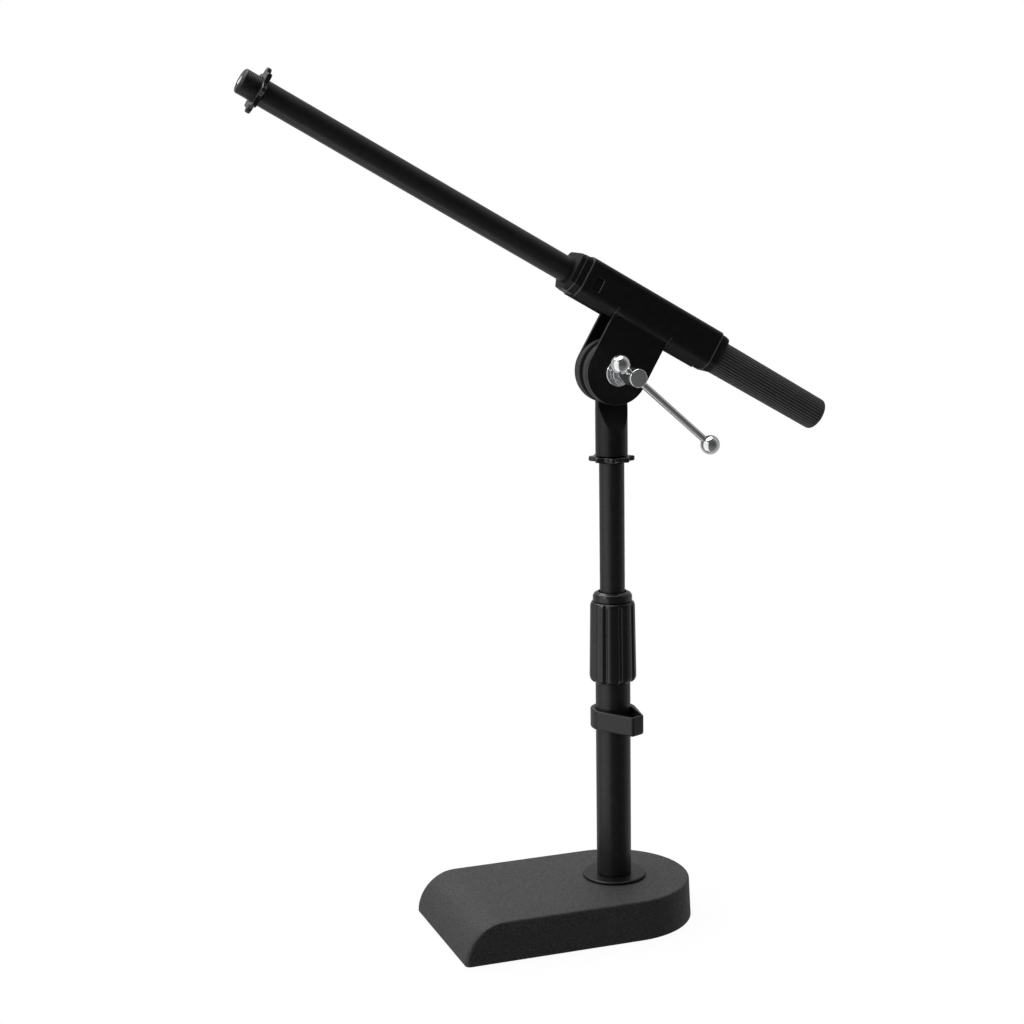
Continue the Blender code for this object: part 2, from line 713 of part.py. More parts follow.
def make_screw(chrome, parent):
    """Clamp screw along local Z, which points to the near side, with a cross hole in its head."""
    washer_low = EAR_FACE + GAP
    washer_high = washer_low + 0.0020
    turned("screw_washer", [(COLLAR_R + 0.0004, washer_high), (SCREW_WASHER_R - 0.0008, washer_high),
                            (SCREW_WASHER_R, washer_high - 0.0008), (SCREW_WASHER_R, washer_low),
                            (BORE_R, washer_low), (BORE_R, washer_high)], chrome, parent)
    collar = washer_high + GAP
    screw = turned("clamp_screw", [(0.0, HEAD_END), (HEAD_R - 0.0006, HEAD_END),
                                   (HEAD_R, HEAD_END - 0.0006), (HEAD_R, HEAD_START + 0.0006),
                                   (HEAD_R - 0.0006, HEAD_START), (SHANK_R, HEAD_START),
                                   (SHANK_R, COLLAR_END), (COLLAR_R - 0.0005, COLLAR_END),
                                   (COLLAR_R, COLLAR_END - 0.0005), (COLLAR_R, collar),
                                   (SHANK_R, collar), (SHANK_R, -SHANK_END), (0.0, -SHANK_END)],
                   chrome, parent)
    hole = rod("bar_hole", BAR_HOLE_R, -0.02, 0.02, parent=parent, steps=24)
    hole.location = (0.0, 0.0, BAR_Y)
    hole.rotation_euler = (0.0, math.pi / 2, -BAR_ANGLE)
    combine(screw, hole, "DIFFERENCE")
    low = -(EAR_FACE + GAP + NUT_T)
    nut = hexagon("clamp_nut", NUT_FLATS, low, low + NUT_T, chrome, parent)
    combine(nut, rod("nut_bore", SHANK_R + GAP, low - OVER, low + NUT_T + OVER, parent=parent),
            "DIFFERENCE")


def make_t_bar(chrome, parent):
    """Sliding bar with a ball on each end; local Z runs down along the bar."""
    low = -BALL_NEAR - BAR_IN_BALL
    high = BALL_FAR + BAR_IN_BALL
    rod("t_bar", BAR_R, low, high, chrome, parent, steps=24)
    for name, centre, inner in (("t_bar_ball_upper", -BALL_NEAR, low - GAP),
                                ("t_bar_ball_lower", BALL_FAR, high + GAP)):
        mesh = bpy.data.meshes.new(name)
        bm = bmesh.new()
        bmesh.ops.create_uvsphere(bm, u_segments=20, v_segments=12, radius=BALL_R)
        bm.to_mesh(mesh)
        bm.free()
        mesh.shade_smooth()
        ball = add_piece(name, mesh, chrome, parent, (0.0, 0.0, centre))
        away = -math.copysign(BALL_R + OVER, centre)
        ends = sorted((inner - centre, away))
        hole = rod(name + "_hole", BAR_R + GAP, *ends, parent=parent, steps=24)
        hole.location = (0.0, 0.0, centre)
        combine(ball, hole, "DIFFERENCE")


# ---- boom -------------------------------------------------------------------
def make_boom(black, steel, rubber, plastic, slide, spin):
    inner = BOOM_R - BOOM_WALL
    ring("boom_tube", BOOM_R, inner, BOOM_REAR, BOOM_FRONT, black, spin)
    spigot = inner - GAP
    shoulder = BOOM_FRONT + GAP
    turned("boom_stud", [(0.0, TIP_END), (STUD_R - 0.0020, TIP_END),
                         (STUD_R - 0.0006, TIP_END - 0.0005), (STUD_R, TIP_END - 0.0018),
                         (STUD_R, shoulder), (spigot, shoulder), (spigot, TIP_SPIGOT),
                         (0.0, TIP_SPIGOT)], steel, spin)
    rod("boom_plug", spigot, BOOM_REAR + GAP, BOOM_REAR + PLUG_LONG, plastic, slide)
    sleeve = BOOM_R + GAP
    inside = BOOM_REAR - GAP
    turned("boom_grip", [(sleeve, GRIP_FRONT), (GRIP_R - 0.0004, GRIP_FRONT),
                         (GRIP_R, GRIP_FRONT - 0.0004), (GRIP_TAIL_R, GRIP_END + 0.0018),
                         (GRIP_TAIL_R - 0.0006, GRIP_END + 0.0006),
                         (GRIP_TAIL_R - 0.0020, GRIP_END),
                         (0.0, GRIP_END), (0.0, inside), (sleeve, inside)], rubber, spin)


# ---- assembly ---------------------------------------------------------------
def build():
    iron = principled("base_texture_paint", (0.030, 0.030, 0.032), 0.62)
    black = principled("satin_black_paint", (0.018, 0.018, 0.019), 0.38)
    gloss = principled("gloss_black_plastic", (0.010, 0.010, 0.011), 0.22)
    plastic = principled("matte_black_plastic", (0.020, 0.020, 0.021), 0.45)
    rubber = principled("black_rubber", (0.028, 0.028, 0.030), 0.75)
    steel = principled("zinc_steel", (0.55, 0.56, 0.58), 0.35, 1.0)
    stud = principled("black_steel", (0.020, 0.020, 0.021), 0.32, 0.4)
    chrome = principled("polished_chrome", (0.80, 0.81, 0.83), 0.08, 1.0)

    make_base(iron, rubber, steel)
    make_lower_pole(black, steel, plastic)
    make_clutch(gloss)
    make_clip(gloss)

    pole_slide = axis_empty("pole_slide_axis", (0.0, 0.0, 0.0))
    pole_turn = axis_empty("pole_turn_axis", (0.0, 0.0, 0.0), parent=pole_slide)
    make_upper_pole(black, stud, plastic, pole_slide, pole_turn)
    make_lock_ring("pole_lock_ring", POLE_RING_Z, plastic, pole_turn, POLE_RING_TURN)
    make_swivel(black, pole_turn)

    sideways = (math.pi / 2, 0.0, 0.0)
    make_discs(rubber, axis_empty("disc_axis", (0.0, 0.0, PIVOT_Z), sideways, pole_turn))

    tilt = axis_empty("tilt_axis", (0.0, 0.0, PIVOT_Z), parent=pole_turn)
    clamp = axis_empty("clamp_frame", (0.0, 0.0, 0.0), (0.0, BOOM_ANGLE, 0.0), tilt)
    make_bracket(black, clamp)
    make_bush("front_bush", -1.0, -BARREL_FRONT, BUSH_FRONT, True, plastic, clamp)
    make_bush("rear_bush", 1.0, BARREL_REAR, BUSH_REAR, False, plastic, clamp)
    screw = axis_empty("screw_axis", (0.0, 0.0, 0.0), sideways, tilt)
    make_screw(chrome, screw)
    bar = axis_empty("t_bar_axis", (0.0, 0.0, BAR_Y), (0.0, math.pi / 2, -BAR_ANGLE), screw)
    make_t_bar(chrome, bar)

    boom_slide = axis_empty("boom_slide_axis", (0.0, 0.0, BOOM_RISE), (0.0, -math.pi / 2, 0.0), clamp)
    boom_spin = axis_empty("boom_spin_axis", (0.0, 0.0, 0.0), parent=boom_slide)
    make_boom(black, stud, rubber, plastic, boom_slide, boom_spin)
    make_lock_ring("tip_lock_ring", TIP_RING, plastic, boom_spin)


clear_scene()
PARTS = new_collection("boom_microphone_stand")
CUTTERS = new_collection("cutters")
build()
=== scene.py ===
"""Looks of the table-top boom microphone stand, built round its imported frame.  Metres, +Z up."""

import json
import math

import bmesh
import bpy
from mathutils import Matrix, Vector

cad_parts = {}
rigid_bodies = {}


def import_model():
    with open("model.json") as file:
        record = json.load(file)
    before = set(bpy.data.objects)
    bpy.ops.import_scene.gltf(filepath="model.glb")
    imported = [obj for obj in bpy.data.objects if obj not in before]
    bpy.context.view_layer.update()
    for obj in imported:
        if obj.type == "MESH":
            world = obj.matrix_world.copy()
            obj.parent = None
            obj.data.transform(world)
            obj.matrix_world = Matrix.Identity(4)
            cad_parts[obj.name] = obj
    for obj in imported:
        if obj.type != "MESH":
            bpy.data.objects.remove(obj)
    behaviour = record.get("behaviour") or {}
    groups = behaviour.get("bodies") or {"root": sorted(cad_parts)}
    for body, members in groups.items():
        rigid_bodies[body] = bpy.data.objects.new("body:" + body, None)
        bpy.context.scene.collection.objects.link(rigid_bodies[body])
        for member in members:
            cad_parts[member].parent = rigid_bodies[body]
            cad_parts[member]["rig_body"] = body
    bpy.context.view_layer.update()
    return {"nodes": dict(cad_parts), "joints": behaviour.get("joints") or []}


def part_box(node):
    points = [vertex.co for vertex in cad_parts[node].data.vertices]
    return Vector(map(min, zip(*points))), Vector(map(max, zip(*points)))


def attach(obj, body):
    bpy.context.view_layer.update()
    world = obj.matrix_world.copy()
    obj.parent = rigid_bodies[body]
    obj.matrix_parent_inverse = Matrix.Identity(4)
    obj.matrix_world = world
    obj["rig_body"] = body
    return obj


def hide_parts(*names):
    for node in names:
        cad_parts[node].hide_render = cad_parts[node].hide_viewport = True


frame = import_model()

NODES = frame["nodes"]
JOINTS = {joint["name"]: joint for joint in frame["joints"]}
GAP = 0.0003            # between faces that touch
FINE = 96               # segments round a large turned piece
ROUND = 64              # segments round a small one
SLIM = 48               # segments round the T-bar

# ---- shapes that the frame's boxes don't give ----
SCREW_BORE = 0.0043      # of the pieces that the clamp screw passes through
STUD_BORE = 0.0081       # of the pieces that the studs pass into
LOWER_WALL = 0.0012
UPPER_WALL = 0.0010      # the boom's too
THREAD_PITCH = 0.00094
THREAD_DEPTH = 0.00018

BASE_REAR = -0.0018      # centre of the round rear, along X
BASE_DRAFT = 0.0012      # how far the walls lean in on their way up
BASE_TOP_EDGE = 0.0016
BASE_FOOT_EDGE = 0.0005
BASE_CORNER = 0.0030
NOSE_R = 0.0250
PAD_RECESS = 0.0023
PAD_EDGE = 0.0004
FLANGE_BORE = 0.0045

CLUTCH_LOBES = 9
CLUTCH_PHASE = math.radians(-10.4)      # a groove's bearing
CLUTCH_GROOVE = 0.0011
CLUTCH_GROOVE_WIDTH = 0.075     # as a loss of the lobes' cosine
CLUTCH_CROWN = 0.00022   # how far a pad falls towards its grooves
CLUTCH_HEAD_R = 0.0143
CLUTCH_FOOT_R = 0.0150
CLUTCH_MOUTH = 0.0115    # bore below the seat
CLUTCH_BORE = 0.0126     # bore round the seat
CLUTCH_THROAT = 0.0101   # bore at the top
CLUTCH_CONE = 0.0047     # depth of the throat's lower end
CLIP_NOSE = (Vector((0.0014, -0.0284)), Vector((0.0114, -0.0241)))
CLIP_CORNER = 0.0016
POLE_RING_TURN = math.radians(-19.6)
RING_LOBES = 8
RING_DIP = 0.0030
RING_SHARPNESS = 1.3

TANG_HALF = 0.00275
SHOULDER_LOW = 0.3170    # height of the slope's outer end, below the tang's flat
SHOULDER_HIGH = 0.3335   # height of its inner end
SOCKET_DEPTH = 0.014
SHEET = 0.0020           # the bracket's thickness
SHEET_EDGE = 0.00045     # rounding of its cut edges
BARREL = (0.0134, 0.0138, -0.0126, 0.0200)  # half width, top, bottom, y minus h on a lip
COLLAR = (0.0134, 0.0132, -0.0124, 0.0197)  # the same of a bush's collar
COLLAR_CORNER = 0.0050
COLLAR_TAPER = 0.0009    # how much smaller a collar's end face is all round
COLLAR_BEVEL = 0.0005
FRONT_COLLAR = 0.0045    # length at full size
REAR_COLLAR = 0.0040
BUSH_BORE = 0.0082
WINDOW_CENTRE = -0.0391  # along the clamp's X
WINDOW_HALF = (0.0029, 0.0043)
LUG_HALF = (0.0026, 0.0040)
LUG_REACH = 0.0124
HIGHLIGHT_BAND_HALF = 0.00045    # half width of the painted highlight bands at the barrel's ends
# pale colour of those painted highlight bands
HIGHLIGHT_BAND_COLOUR = (0.10, 0.10, 0.102)

SHANK_R = 0.0039         # of the clamp screw
SHANK_COLLAR_R = 0.0056
SHANK_COLLAR_TOP = 0.0170       # along the screw, from the boom's plane
HEAD_LOW = 0.0310
CROSS_HOLE_R = 0.0026
STUD_CENTRE_R = 0.0028   # bare steel in the boom stud's end, pale also as a painted highlight
GRIP_TAIL_R = 0.0104
GRIP_TAIL_EDGE = 0.0022
GRIP_RIBS = 36
GRIP_RIB_DEPTH = 0.00060
GRIP_RIB_FULLNESS = 0.6  # smaller makes narrower valleys

# ---- studio ----
CAMERA_AT = (-0.4727, -1.14895, 0.49381)
CAMERA_FORWARD = Vector((0.32780, 0.92743, -0.18009))
CAMERA_RIGHT = Vector((0.94183, -0.33578, -0.01485))
CAMERA_LENS = 70.58      # millimetres, on a 36 mm sensor
BACK_DIRECTION = (0.333, 0.943, 0.0)
LEFT_DIRECTION = (-0.976, -0.218, 0.0)
BACK_FADE = (-0.60, 0.40)       # cosines where the room brightens to the back
LEFT_FADE = (0.78, 0.94)        # where the left glow begins
HEIGHT_FADE = (0.45, 0.75)      # and ends, upwards
BENEATH_FADE = (0.15, 0.70)     # where the floor glow begins, downwards
ROOM_FRONT = 0.055
ROOM_BACK = 0.46
LEFT_GLOW = 1.0
FLOOR_GLOW = 0.06
FLOOR_CLEAR = 0.95       # share of light that passes through the table top
FLOOR_LEVEL = -0.0002    # just clear of the pad
OVERHEAD = 2.9
OVERHEAD_SPREAD = math.radians(70.0)
OVERHEAD_TILT = (math.radians(-14.0), math.radians(-12.0), 0.0)
KEY_POWER = 2.2
KEY_SIZE = 0.16
KEY_TARGET = Vector((0.0, 0.0, 0.3))
KEY_DIRECTION = Vector((-0.836, -0.224, 0.5))
KEY_DISTANCE = 1.4


# ---- frames of the tilted pieces ----
def axes_frame(origin, x_axis, z_axis):
    """A placement from an origin, a local X and a local Z."""
    x_axis = Vector(x_axis).normalized()
    z_axis = Vector(z_axis).normalized()
    y_axis = z_axis.cross(x_axis)
    turn = Matrix((x_axis, y_axis, z_axis)).transposed()
    return Matrix.Translation(origin) @ turn.to_4x4()


def node_box(name, place):
    """Lowest and highest corner of a CAD node, in a local frame."""
    inverse = place.inverted()
    points = [inverse @ vertex.co for vertex in NODES[name].data.vertices]
    low = Vector([min(p[i] for p in points) for i in range(3)])
    high = Vector([max(p[i] for p in points) for i in range(3)])
    return low, high


PIVOT = Vector(JOINTS["boom_tilt"]["pos_m"])
TO_TIP = Vector(JOINTS["boom_slide"]["axis"]).normalized()
BOOM_UP = Vector((0.0, 1.0, 0.0)).cross(TO_TIP)
CLAMP = axes_frame(PIVOT, -TO_TIP, BOOM_UP)             # X to the grip, Z square to the boom
BOOM_RISE = (Vector(JOINTS["boom_spin"]["pos_m"]) - PIVOT).length
BOOM = axes_frame(JOINTS["boom_spin"]["pos_m"], BOOM_UP, TO_TIP)    # Z along the boom to its tip
SCREW = axes_frame(PIVOT, (1.0, 0.0, 0.0), (0.0, -1.0, 0.0))        # Z out of the near side
TO_UPPER_BALL = Vector(JOINTS["t_bar_slide"]["axis"]).normalized()
UPRIGHT = Matrix.Identity(4)


# ---- small tools ----
def filleted(points, steps=5):
    """A closed outline from (x, y) or (x, y, radius) corners, each radius made an arc."""
    outline = []
    count = len(points)
    for i, point in enumerate(points):
        corner = Vector(point[:2])
        radius = point[2] if len(point) > 2 else 0.0
        if radius <= 0.0:
            outline.append(tuple(corner))
            continue
        before = (Vector(points[i - 1][:2]) - corner).normalized()
        after = (Vector(points[(i + 1) % count][:2]) - corner).normalized()
        half = before.angle(after) / 2.0
        centre = corner + (before + after).normalized() * radius / math.sin(half)
        reach = radius / math.tan(half)
        first = corner + before * reach - centre
        last = corner + after * reach - centre
        sweep = first.angle_signed(last)
        for step in range(steps + 1):
            spoke = first.copy()
            spoke.rotate(Matrix.Rotation(-sweep * step / steps, 2))
            outline.append(tuple(centre + spoke))
    return outline


def arc(centre, radius, start, end, count):
    """Points on a circle from one angle to another, both included."""
    angles = [start + (end - start) * i / count for i in range(count + 1)]
    return [(centre[0] + radius * math.cos(a), centre[1] + radius * math.sin(a)) for a in angles]


def resampled(outline, count):
    """The closed outline as evenly spaced points, starting from its first one."""
    closed = outline + outline[:1]
    lengths = [math.dist(a, b) for a, b in zip(closed, closed[1:])]
    step = sum(lengths) / count
    points, travelled, side = [], 0.0, 0
    for i in range(count):
        while travelled + lengths[side] < i * step:
            travelled += lengths[side]
            side += 1
        share = (i * step - travelled) / lengths[side]
        start, end = closed[side], closed[side + 1]
        points.append(tuple(a + (b - a) * share for a, b in zip(start, end)))
    return points


def finish_mesh(name, bm, place, sharp=30.0):
    """Makes the object, shaded smooth, with edges sharper than the given angle kept sharp."""
    bmesh.ops.recalc_face_normals(bm, faces=bm.faces)
    mesh = bpy.data.meshes.new(name)
    bm.to_mesh(mesh)
    bm.free()
    mesh.shade_smooth()
    mesh.set_sharp_from_angle(angle=math.radians(sharp))
    piece = bpy.data.objects.new(name, mesh)
    bpy.context.scene.collection.objects.link(piece)
    piece.matrix_world = place
    return piece


def weigh_normals(piece):
    """Keeps flat faces flat to the eye beside their rounded edges."""
    weighted = piece.modifiers.new("weigh", "WEIGHTED_NORMAL")
    weighted.keep_sharp = True
    return piece


def round_edges(piece, width, segments=3, angle=40.0):
    bevel = piece.modifiers.new("edges", "BEVEL")
    bevel.width = width
    bevel.segments = segments
    bevel.limit_method = "ANGLE"
    bevel.angle_limit = math.radians(angle)
    bevel.miter_outer = "MITER_ARC"
    return weigh_normals(piece)


def baked(piece, *tools):
    """Applies a piece's modifiers, then removes the cutters that they used."""
    graph = bpy.context.evaluated_depsgraph_get()
    graph.update()
    mesh = bpy.data.meshes.new_from_object(piece.evaluated_get(graph))
    piece.modifiers.clear()
    piece.data = mesh
    for tool in tools:
        bpy.data.objects.remove(tool)
    mesh.shade_smooth()
    mesh.set_sharp_from_angle(angle=math.radians(30.0))
    return piece


def combine(piece, tool, operation="DIFFERENCE"):
    """Cuts a piece with a tool, or joins the two."""
    tool.modifiers.clear()
    tool.hide_render = True
    cut = piece.modifiers.new(operation.lower(), "BOOLEAN")
    cut.operation = operation
    cut.solver = "EXACT"
    cut.object = tool


def spun_row(bm, loop):
    """Points from (radius, height) pairs, one to a spoke; on the axis they are one point."""
    count = len(loop)
    if loop[0][0] < 1e-7:
        return [bm.verts.new((0.0, 0.0, loop[0][1]))]
    turns = [math.tau * i / count for i in range(count)]
    return [bm.verts.new((r * math.cos(turn), r * math.sin(turn), z))
            for turn, (r, z) in zip(turns, loop)]


def skin(bm, rows, count):
    """Faces between neighbouring rows, each a ring of points or one point on the axis."""
    for upper, lower in zip(rows, rows[1:]):
        if len(upper) == 1 and len(lower) == 1:
            continue
        for i in range(count):
            j = (i + 1) % count
            corners = [upper[i % len(upper)], lower[i % len(lower)],
                       lower[j % len(lower)], upper[j % len(upper)]]
            bm.faces.new(list(dict.fromkeys(corners)))


def turned(name, outline, place=UPRIGHT, steps=FINE):
    """Spins a closed (radius, height) outline about local Z."""
    bm = bmesh.new()
    rows = [spun_row(bm, [point] * steps) for point in outline]
    skin(bm, rows + rows[:1], steps)
    return weigh_normals(finish_mesh(name, bm, place))


def rod_tool(name, radius, low, high, place):
    return turned(name, [(0.0, high), (radius, high), (radius, low), (0.0, low)], place, ROUND)


def lofted(name, loops, place=UPRIGHT, closed=False, sharp=30.0):
    """Joins loops of equal length, capped at the ends unless the last one meets the first."""
    bm = bmesh.new()
    rows = [[bm.verts.new(point) for point in loop] for loop in loops]
    pairs = list(zip(rows, rows[1:]))
    if closed:
        pairs.append((rows[-1], rows[0]))
    count = len(rows[0])
    for upper, lower in pairs:
        for i in range(count):
            j = (i + 1) % count
            bm.faces.new((upper[i], lower[i], lower[j], upper[j]))
    if not closed:
        bm.faces.new(rows[0])
        bm.faces.new(list(reversed(rows[-1])))
    return weigh_normals(finish_mesh(name, bm, place, sharp))


def level(outline, height):
    return [(x, y, height) for x, y in outline]


def polar(radii, height):
    """A level loop from its radii, one to a spoke."""
    count = len(radii)
    return [(r * math.cos(math.tau * i / count), r * math.sin(math.tau * i / count), height)
            for i, r in enumerate(radii)]


def circle_loop(height, radius, count):
    return polar([radius] * count, height)


def quarter(steps, first=0):
    """Angles from 0 to 90 degrees in equal steps."""
    return [math.pi / 2 * i / steps for i in range(first, steps + 1)]


def stand_for(piece, node, material):
    """The finished piece takes a CAD node's place, body and material slot."""
    piece.data.materials.clear()
    piece.data.materials.append(material)
    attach(piece, NODES[node]["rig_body"])
    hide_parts(node)
    return piece


# ---- materials ----
def add_node(tree, kind, inputs, **settings):
    """A new node, each of its given inputs linked to a socket or set to a plain value."""
    node = tree.nodes.new(kind)
    for name, value in settings.items():
        setattr(node, name, value)
    for name, value in inputs.items():
        if isinstance(value, bpy.types.NodeSocket):
            tree.links.new(value, node.inputs[name])
        else:
            node.inputs[name].default_value = value
    return node


class Nodes:
    """A material's node tree, with its Principled shader and object coordinates at hand."""

    def __init__(self, name, colour, roughness, metallic=0.0, specular=0.5):
        self.material = bpy.data.materials.new(name)
        self.material.use_nodes = True
        self.tree = self.material.node_tree
        self.shader = self.tree.nodes["Principled BSDF"]
        self.shader.inputs["Base Color"].default_value = (*colour, 1.0)
        self.shader.inputs["Roughness"].default_value = roughness
        self.shader.inputs["Metallic"].default_value = metallic
        self.shader.inputs["Specular IOR Level"].default_value = specular
        self.place = self.tree.nodes.new("ShaderNodeTexCoord").outputs["Object"]

    def link(self, source, target):
        self.tree.links.new(source, target)

    def node(self, kind, inputs, **settings):
        return add_node(self.tree, kind, inputs, **settings)

    def stretched(self, scale):
        inputs = {"Vector": self.place, "Scale": scale}
        return self.node("ShaderNodeMapping", inputs).outputs["Vector"]

    def spot(self):
        """X, Y and Z of the object coordinates."""
        return self.node("ShaderNodeSeparateXYZ", {0: self.place}).outputs

    def computed(self, operation, *values):
        inputs = dict(enumerate(values))
        return self.node("ShaderNodeMath", inputs, operation=operation).outputs[0]

    def noise(self, scale, detail=2.0, roughness=0.5, where=None):
        inputs = {"Vector": where or self.place, "Scale": scale, "Detail": detail,
                  "Roughness": roughness}
        return self.node("ShaderNodeTexNoise", inputs).outputs["Fac"]

    def cells(self, scale):
        inputs = {"Vector": self.place, "Scale": scale}
        return self.node("ShaderNodeTexVoronoi", inputs).outputs["Distance"]

    def ranged(self, value, low, high, from_low=0.0, from_high=1.0):
        inputs = {"Value": value, "From Min": from_low, "From Max": from_high, "To Min": low,
                  "To Max": high}
        return self.node("ShaderNodeMapRange", inputs).outputs["Result"]

    def mixed(self, factor, first, second):
        inputs = {"Factor": factor, 6: (*first, 1.0), 7: (*second, 1.0)}
        mix = self.node("ShaderNodeMix", inputs, data_type="RGBA")
        self.link(mix.outputs[2], self.shader.inputs["Base Color"])
        return mix.outputs[2]

    def rough(self, value):
        self.link(value, self.shader.inputs["Roughness"])

    def bump(self, height, strength, distance, under=None):
        inputs = {"Height": height, "Strength": strength, "Distance": distance}
        if under:
            inputs["Normal"] = under
        normal = self.node("ShaderNodeBump", inputs).outputs["Normal"]
        self.link(normal, self.shader.inputs["Normal"])
        return normal

    def tinted(self, dark, light, scale, detail=2.0, roughness=0.5, last=0.65):
        """Base colour drifting between two shades."""
        drift = self.ranged(self.noise(scale, detail, roughness), 0.0, 1.0, 0.35, last)
        return self.mixed(drift, dark, light)

    def shined(self, low, high, scale, detail=2.0, first=0.3):
        """Roughness drifting between two values."""
        self.rough(self.ranged(self.noise(scale, detail), low, high, first, 0.7))

    def grained(self, scale, strength, distance=0.00008):
        self.bump(self.noise(scale, 2.0), strength, distance)


def sand_paint():
    """Powder coat full of fine raised grains, with painted shade: darker in the pits between them,
    lighter on their tops.
    """
    look = Nodes("sand_texture_paint", (0.03, 0.03, 0.032), 0.6, specular=0.3)
    grain = look.noise(1500.0, 3.0, 0.65)
    # painted shade: the colour follows the grains' height, dark in the pits and light on the tops
    painted_grain_shade = look.ranged(grain, 0.0, 1.0, 0.42, 0.68)
    look.mixed(painted_grain_shade, (0.018, 0.018, 0.019), (0.075, 0.075, 0.077))
    look.shined(0.48, 0.72, 700.0)
    pebbles = look.bump(look.cells(1250.0), 0.55, 0.00022)
    look.bump(grain, 0.6, 0.00016, pebbles)
    return look.material


def powder_coat(name, dark, light, low, high, specular=0.3, highlight_stations=()):
    """Satin powder coat with a faint orange peel, with a paler painted highlight band at some
    stations along X.
    """
    look = Nodes(name, dark, 0.4, specular=specular)
    coat = look.tinted(dark, light, 260.0, 4.0)
    look.shined(low, high, 420.0, 3.0)
    look.grained(1100.0, 0.12)
    # painted highlight: a pale band round each station
    for station in highlight_stations:
        near = look.computed("COMPARE", look.spot()["X"], station, HIGHLIGHT_BAND_HALF)
        highlight_band = look.mixed(near, dark, HIGHLIGHT_BAND_COLOUR)
        look.link(coat, highlight_band.node.inputs[6])
        coat = highlight_band
    return look.material


# painted light: this copy of the satin black coat is paler than the sheet coat, standing for the
# light that the round tubes catch
def tube_paint_painted_lighter():
    return powder_coat("satin_black_tube_coat_painted_lighter", (0.008, 0.008, 0.0084), (0.013, 0.013, 0.0135),
                       0.32, 0.42, 0.42)


# the same satin black as the tubes' coat, darker; the tubes' copy carries the painted light
def sheet_paint(name="satin_black_sheet_coat", highlight_stations=()):
    return powder_coat(name, (0.0045, 0.0045, 0.0048), (0.008, 0.008, 0.0083), 0.30, 0.40,
                       highlight_stations=highlight_stations)


def edge_highlight_paint():
    """Painted highlight for edges: paler and shinier than the coat round them, standing for the
    bright lines that light draws along them.
    """
    dark, light = (0.07, 0.07, 0.072), (0.11, 0.11, 0.112)
    look = Nodes("painted_edge_highlight", dark, 0.3)
    look.tinted(dark, light, 500.0, 3.0)
    look.shined(0.24, 0.36, 800.0)
    return look.material


def gloss_plastic():
    """Moulded plastic with a soft shine and barely visible flow marks."""
    look = Nodes("gloss_black_moulding", (0.008, 0.008, 0.009), 0.2)
    look.mixed(look.noise(180.0, 3.0, where=look.stretched((1.0, 1.0, 0.25))),
               (0.006, 0.006, 0.0065), (0.011, 0.011, 0.012))
    look.shined(0.17, 0.27, 320.0, 3.0)
    look.grained(600.0, 0.08)
    return look.material


def satin_plastic():
    """Moulded plastic with an even satin skin, a shade greyer than the glossy one."""
    look = Nodes("satin_black_clip_moulding", (0.016, 0.016, 0.017), 0.36, specular=0.38)
    look.tinted((0.012, 0.012, 0.0125), (0.021, 0.021, 0.022), 700.0, 3.0)
    look.shined(0.28, 0.38, 450.0)
    look.grained(1500.0, 0.12)
    return look.material


def matte_plastic():
    """Moulded plastic with a fine etched grain."""
    look = Nodes("matte_black_moulding", (0.008, 0.008, 0.0085), 0.5, specular=0.2)
    look.tinted((0.006, 0.006, 0.0065), (0.011, 0.011, 0.0115), 900.0, 3.0)
    look.shined(0.42, 0.55, 500.0)
    look.grained(2600.0, 0.2)
    return look.material


def black_rubber():
    """Rubber with a dusty, fine-pored skin."""
    look = Nodes("black_rubber_skin", (0.024, 0.024, 0.026), 0.7)
    look.tinted((0.017, 0.017, 0.018), (0.034, 0.034, 0.036), 500.0, 5.0, 0.6, 0.7)
    look.shined(0.58, 0.78, 900.0)
    look.grained(3200.0, 0.25, 0.0001)
    return look.material


def ribbed_rubber_painted_shade(ribs):
    """Ribbed rubber sleeve about its own Z axis, with painted shade darkening the valleys between
    its ribs.
    """
    look = Nodes("ribbed_rubber_sleeve_painted_shade", (0.03, 0.03, 0.031), 0.5, specular=0.6)
    spot = look.spot()
    bearing = look.computed("ARCTAN2", spot["Y"], spot["X"])
    wave = look.computed("SINE", look.computed("MULTIPLY", bearing, ribs / 2.0))
    height = look.computed("ABSOLUTE", wave)
    # painted shade: the colour runs from near black in the valleys to paler on the rib crests
    look.mixed(look.ranged(height, 0.0, 1.0, 0.35, 0.90),
               (0.001, 0.001, 0.001), (0.085, 0.085, 0.087))
    look.shined(0.40, 0.55, 900.0)
    look.grained(3200.0, 0.2, 0.0001)
    return look.material


def black_steel():
    """Blackened steel, worn a touch brighter in fine turning marks."""
    look = Nodes("blackened_steel", (0.01, 0.01, 0.011), 0.34, 0.15, specular=0.35)
    look.tinted((0.005, 0.005, 0.0055), (0.018, 0.018, 0.019), 500.0, 4.0, last=0.7)
    look.shined(0.26, 0.42, 700.0, 3.0)
    look.grained(1800.0, 0.12)
    return look.material


def zinc_steel():
    """Zinc plate, clouded and slightly uneven."""
    look = Nodes("zinc_plated_steel", (0.55, 0.56, 0.58), 0.36, 1.0)
    look.mixed(look.noise(240.0, 4.0), (0.46, 0.47, 0.50), (0.64, 0.65, 0.66))
    look.shined(0.28, 0.46, 380.0, 3.0)
    look.grained(1300.0, 0.1)
    return look.material


def chrome():
    """Bright plate with hairline polishing marks and a few cloudy patches."""
    look = Nodes("bright_chrome_plate", (0.80, 0.81, 0.82), 0.08, 0.93)
    look.mixed(look.noise(160.0, 3.0), (0.70, 0.71, 0.725), (0.84, 0.845, 0.85))
    look.shined(0.05, 0.13, 350.0, 4.0, 0.35)
    look.bump(look.noise(900.0, 2.0, where=look.stretched((1.0, 1.0, 6.0))), 0.03, 0.00005)
    return look.material


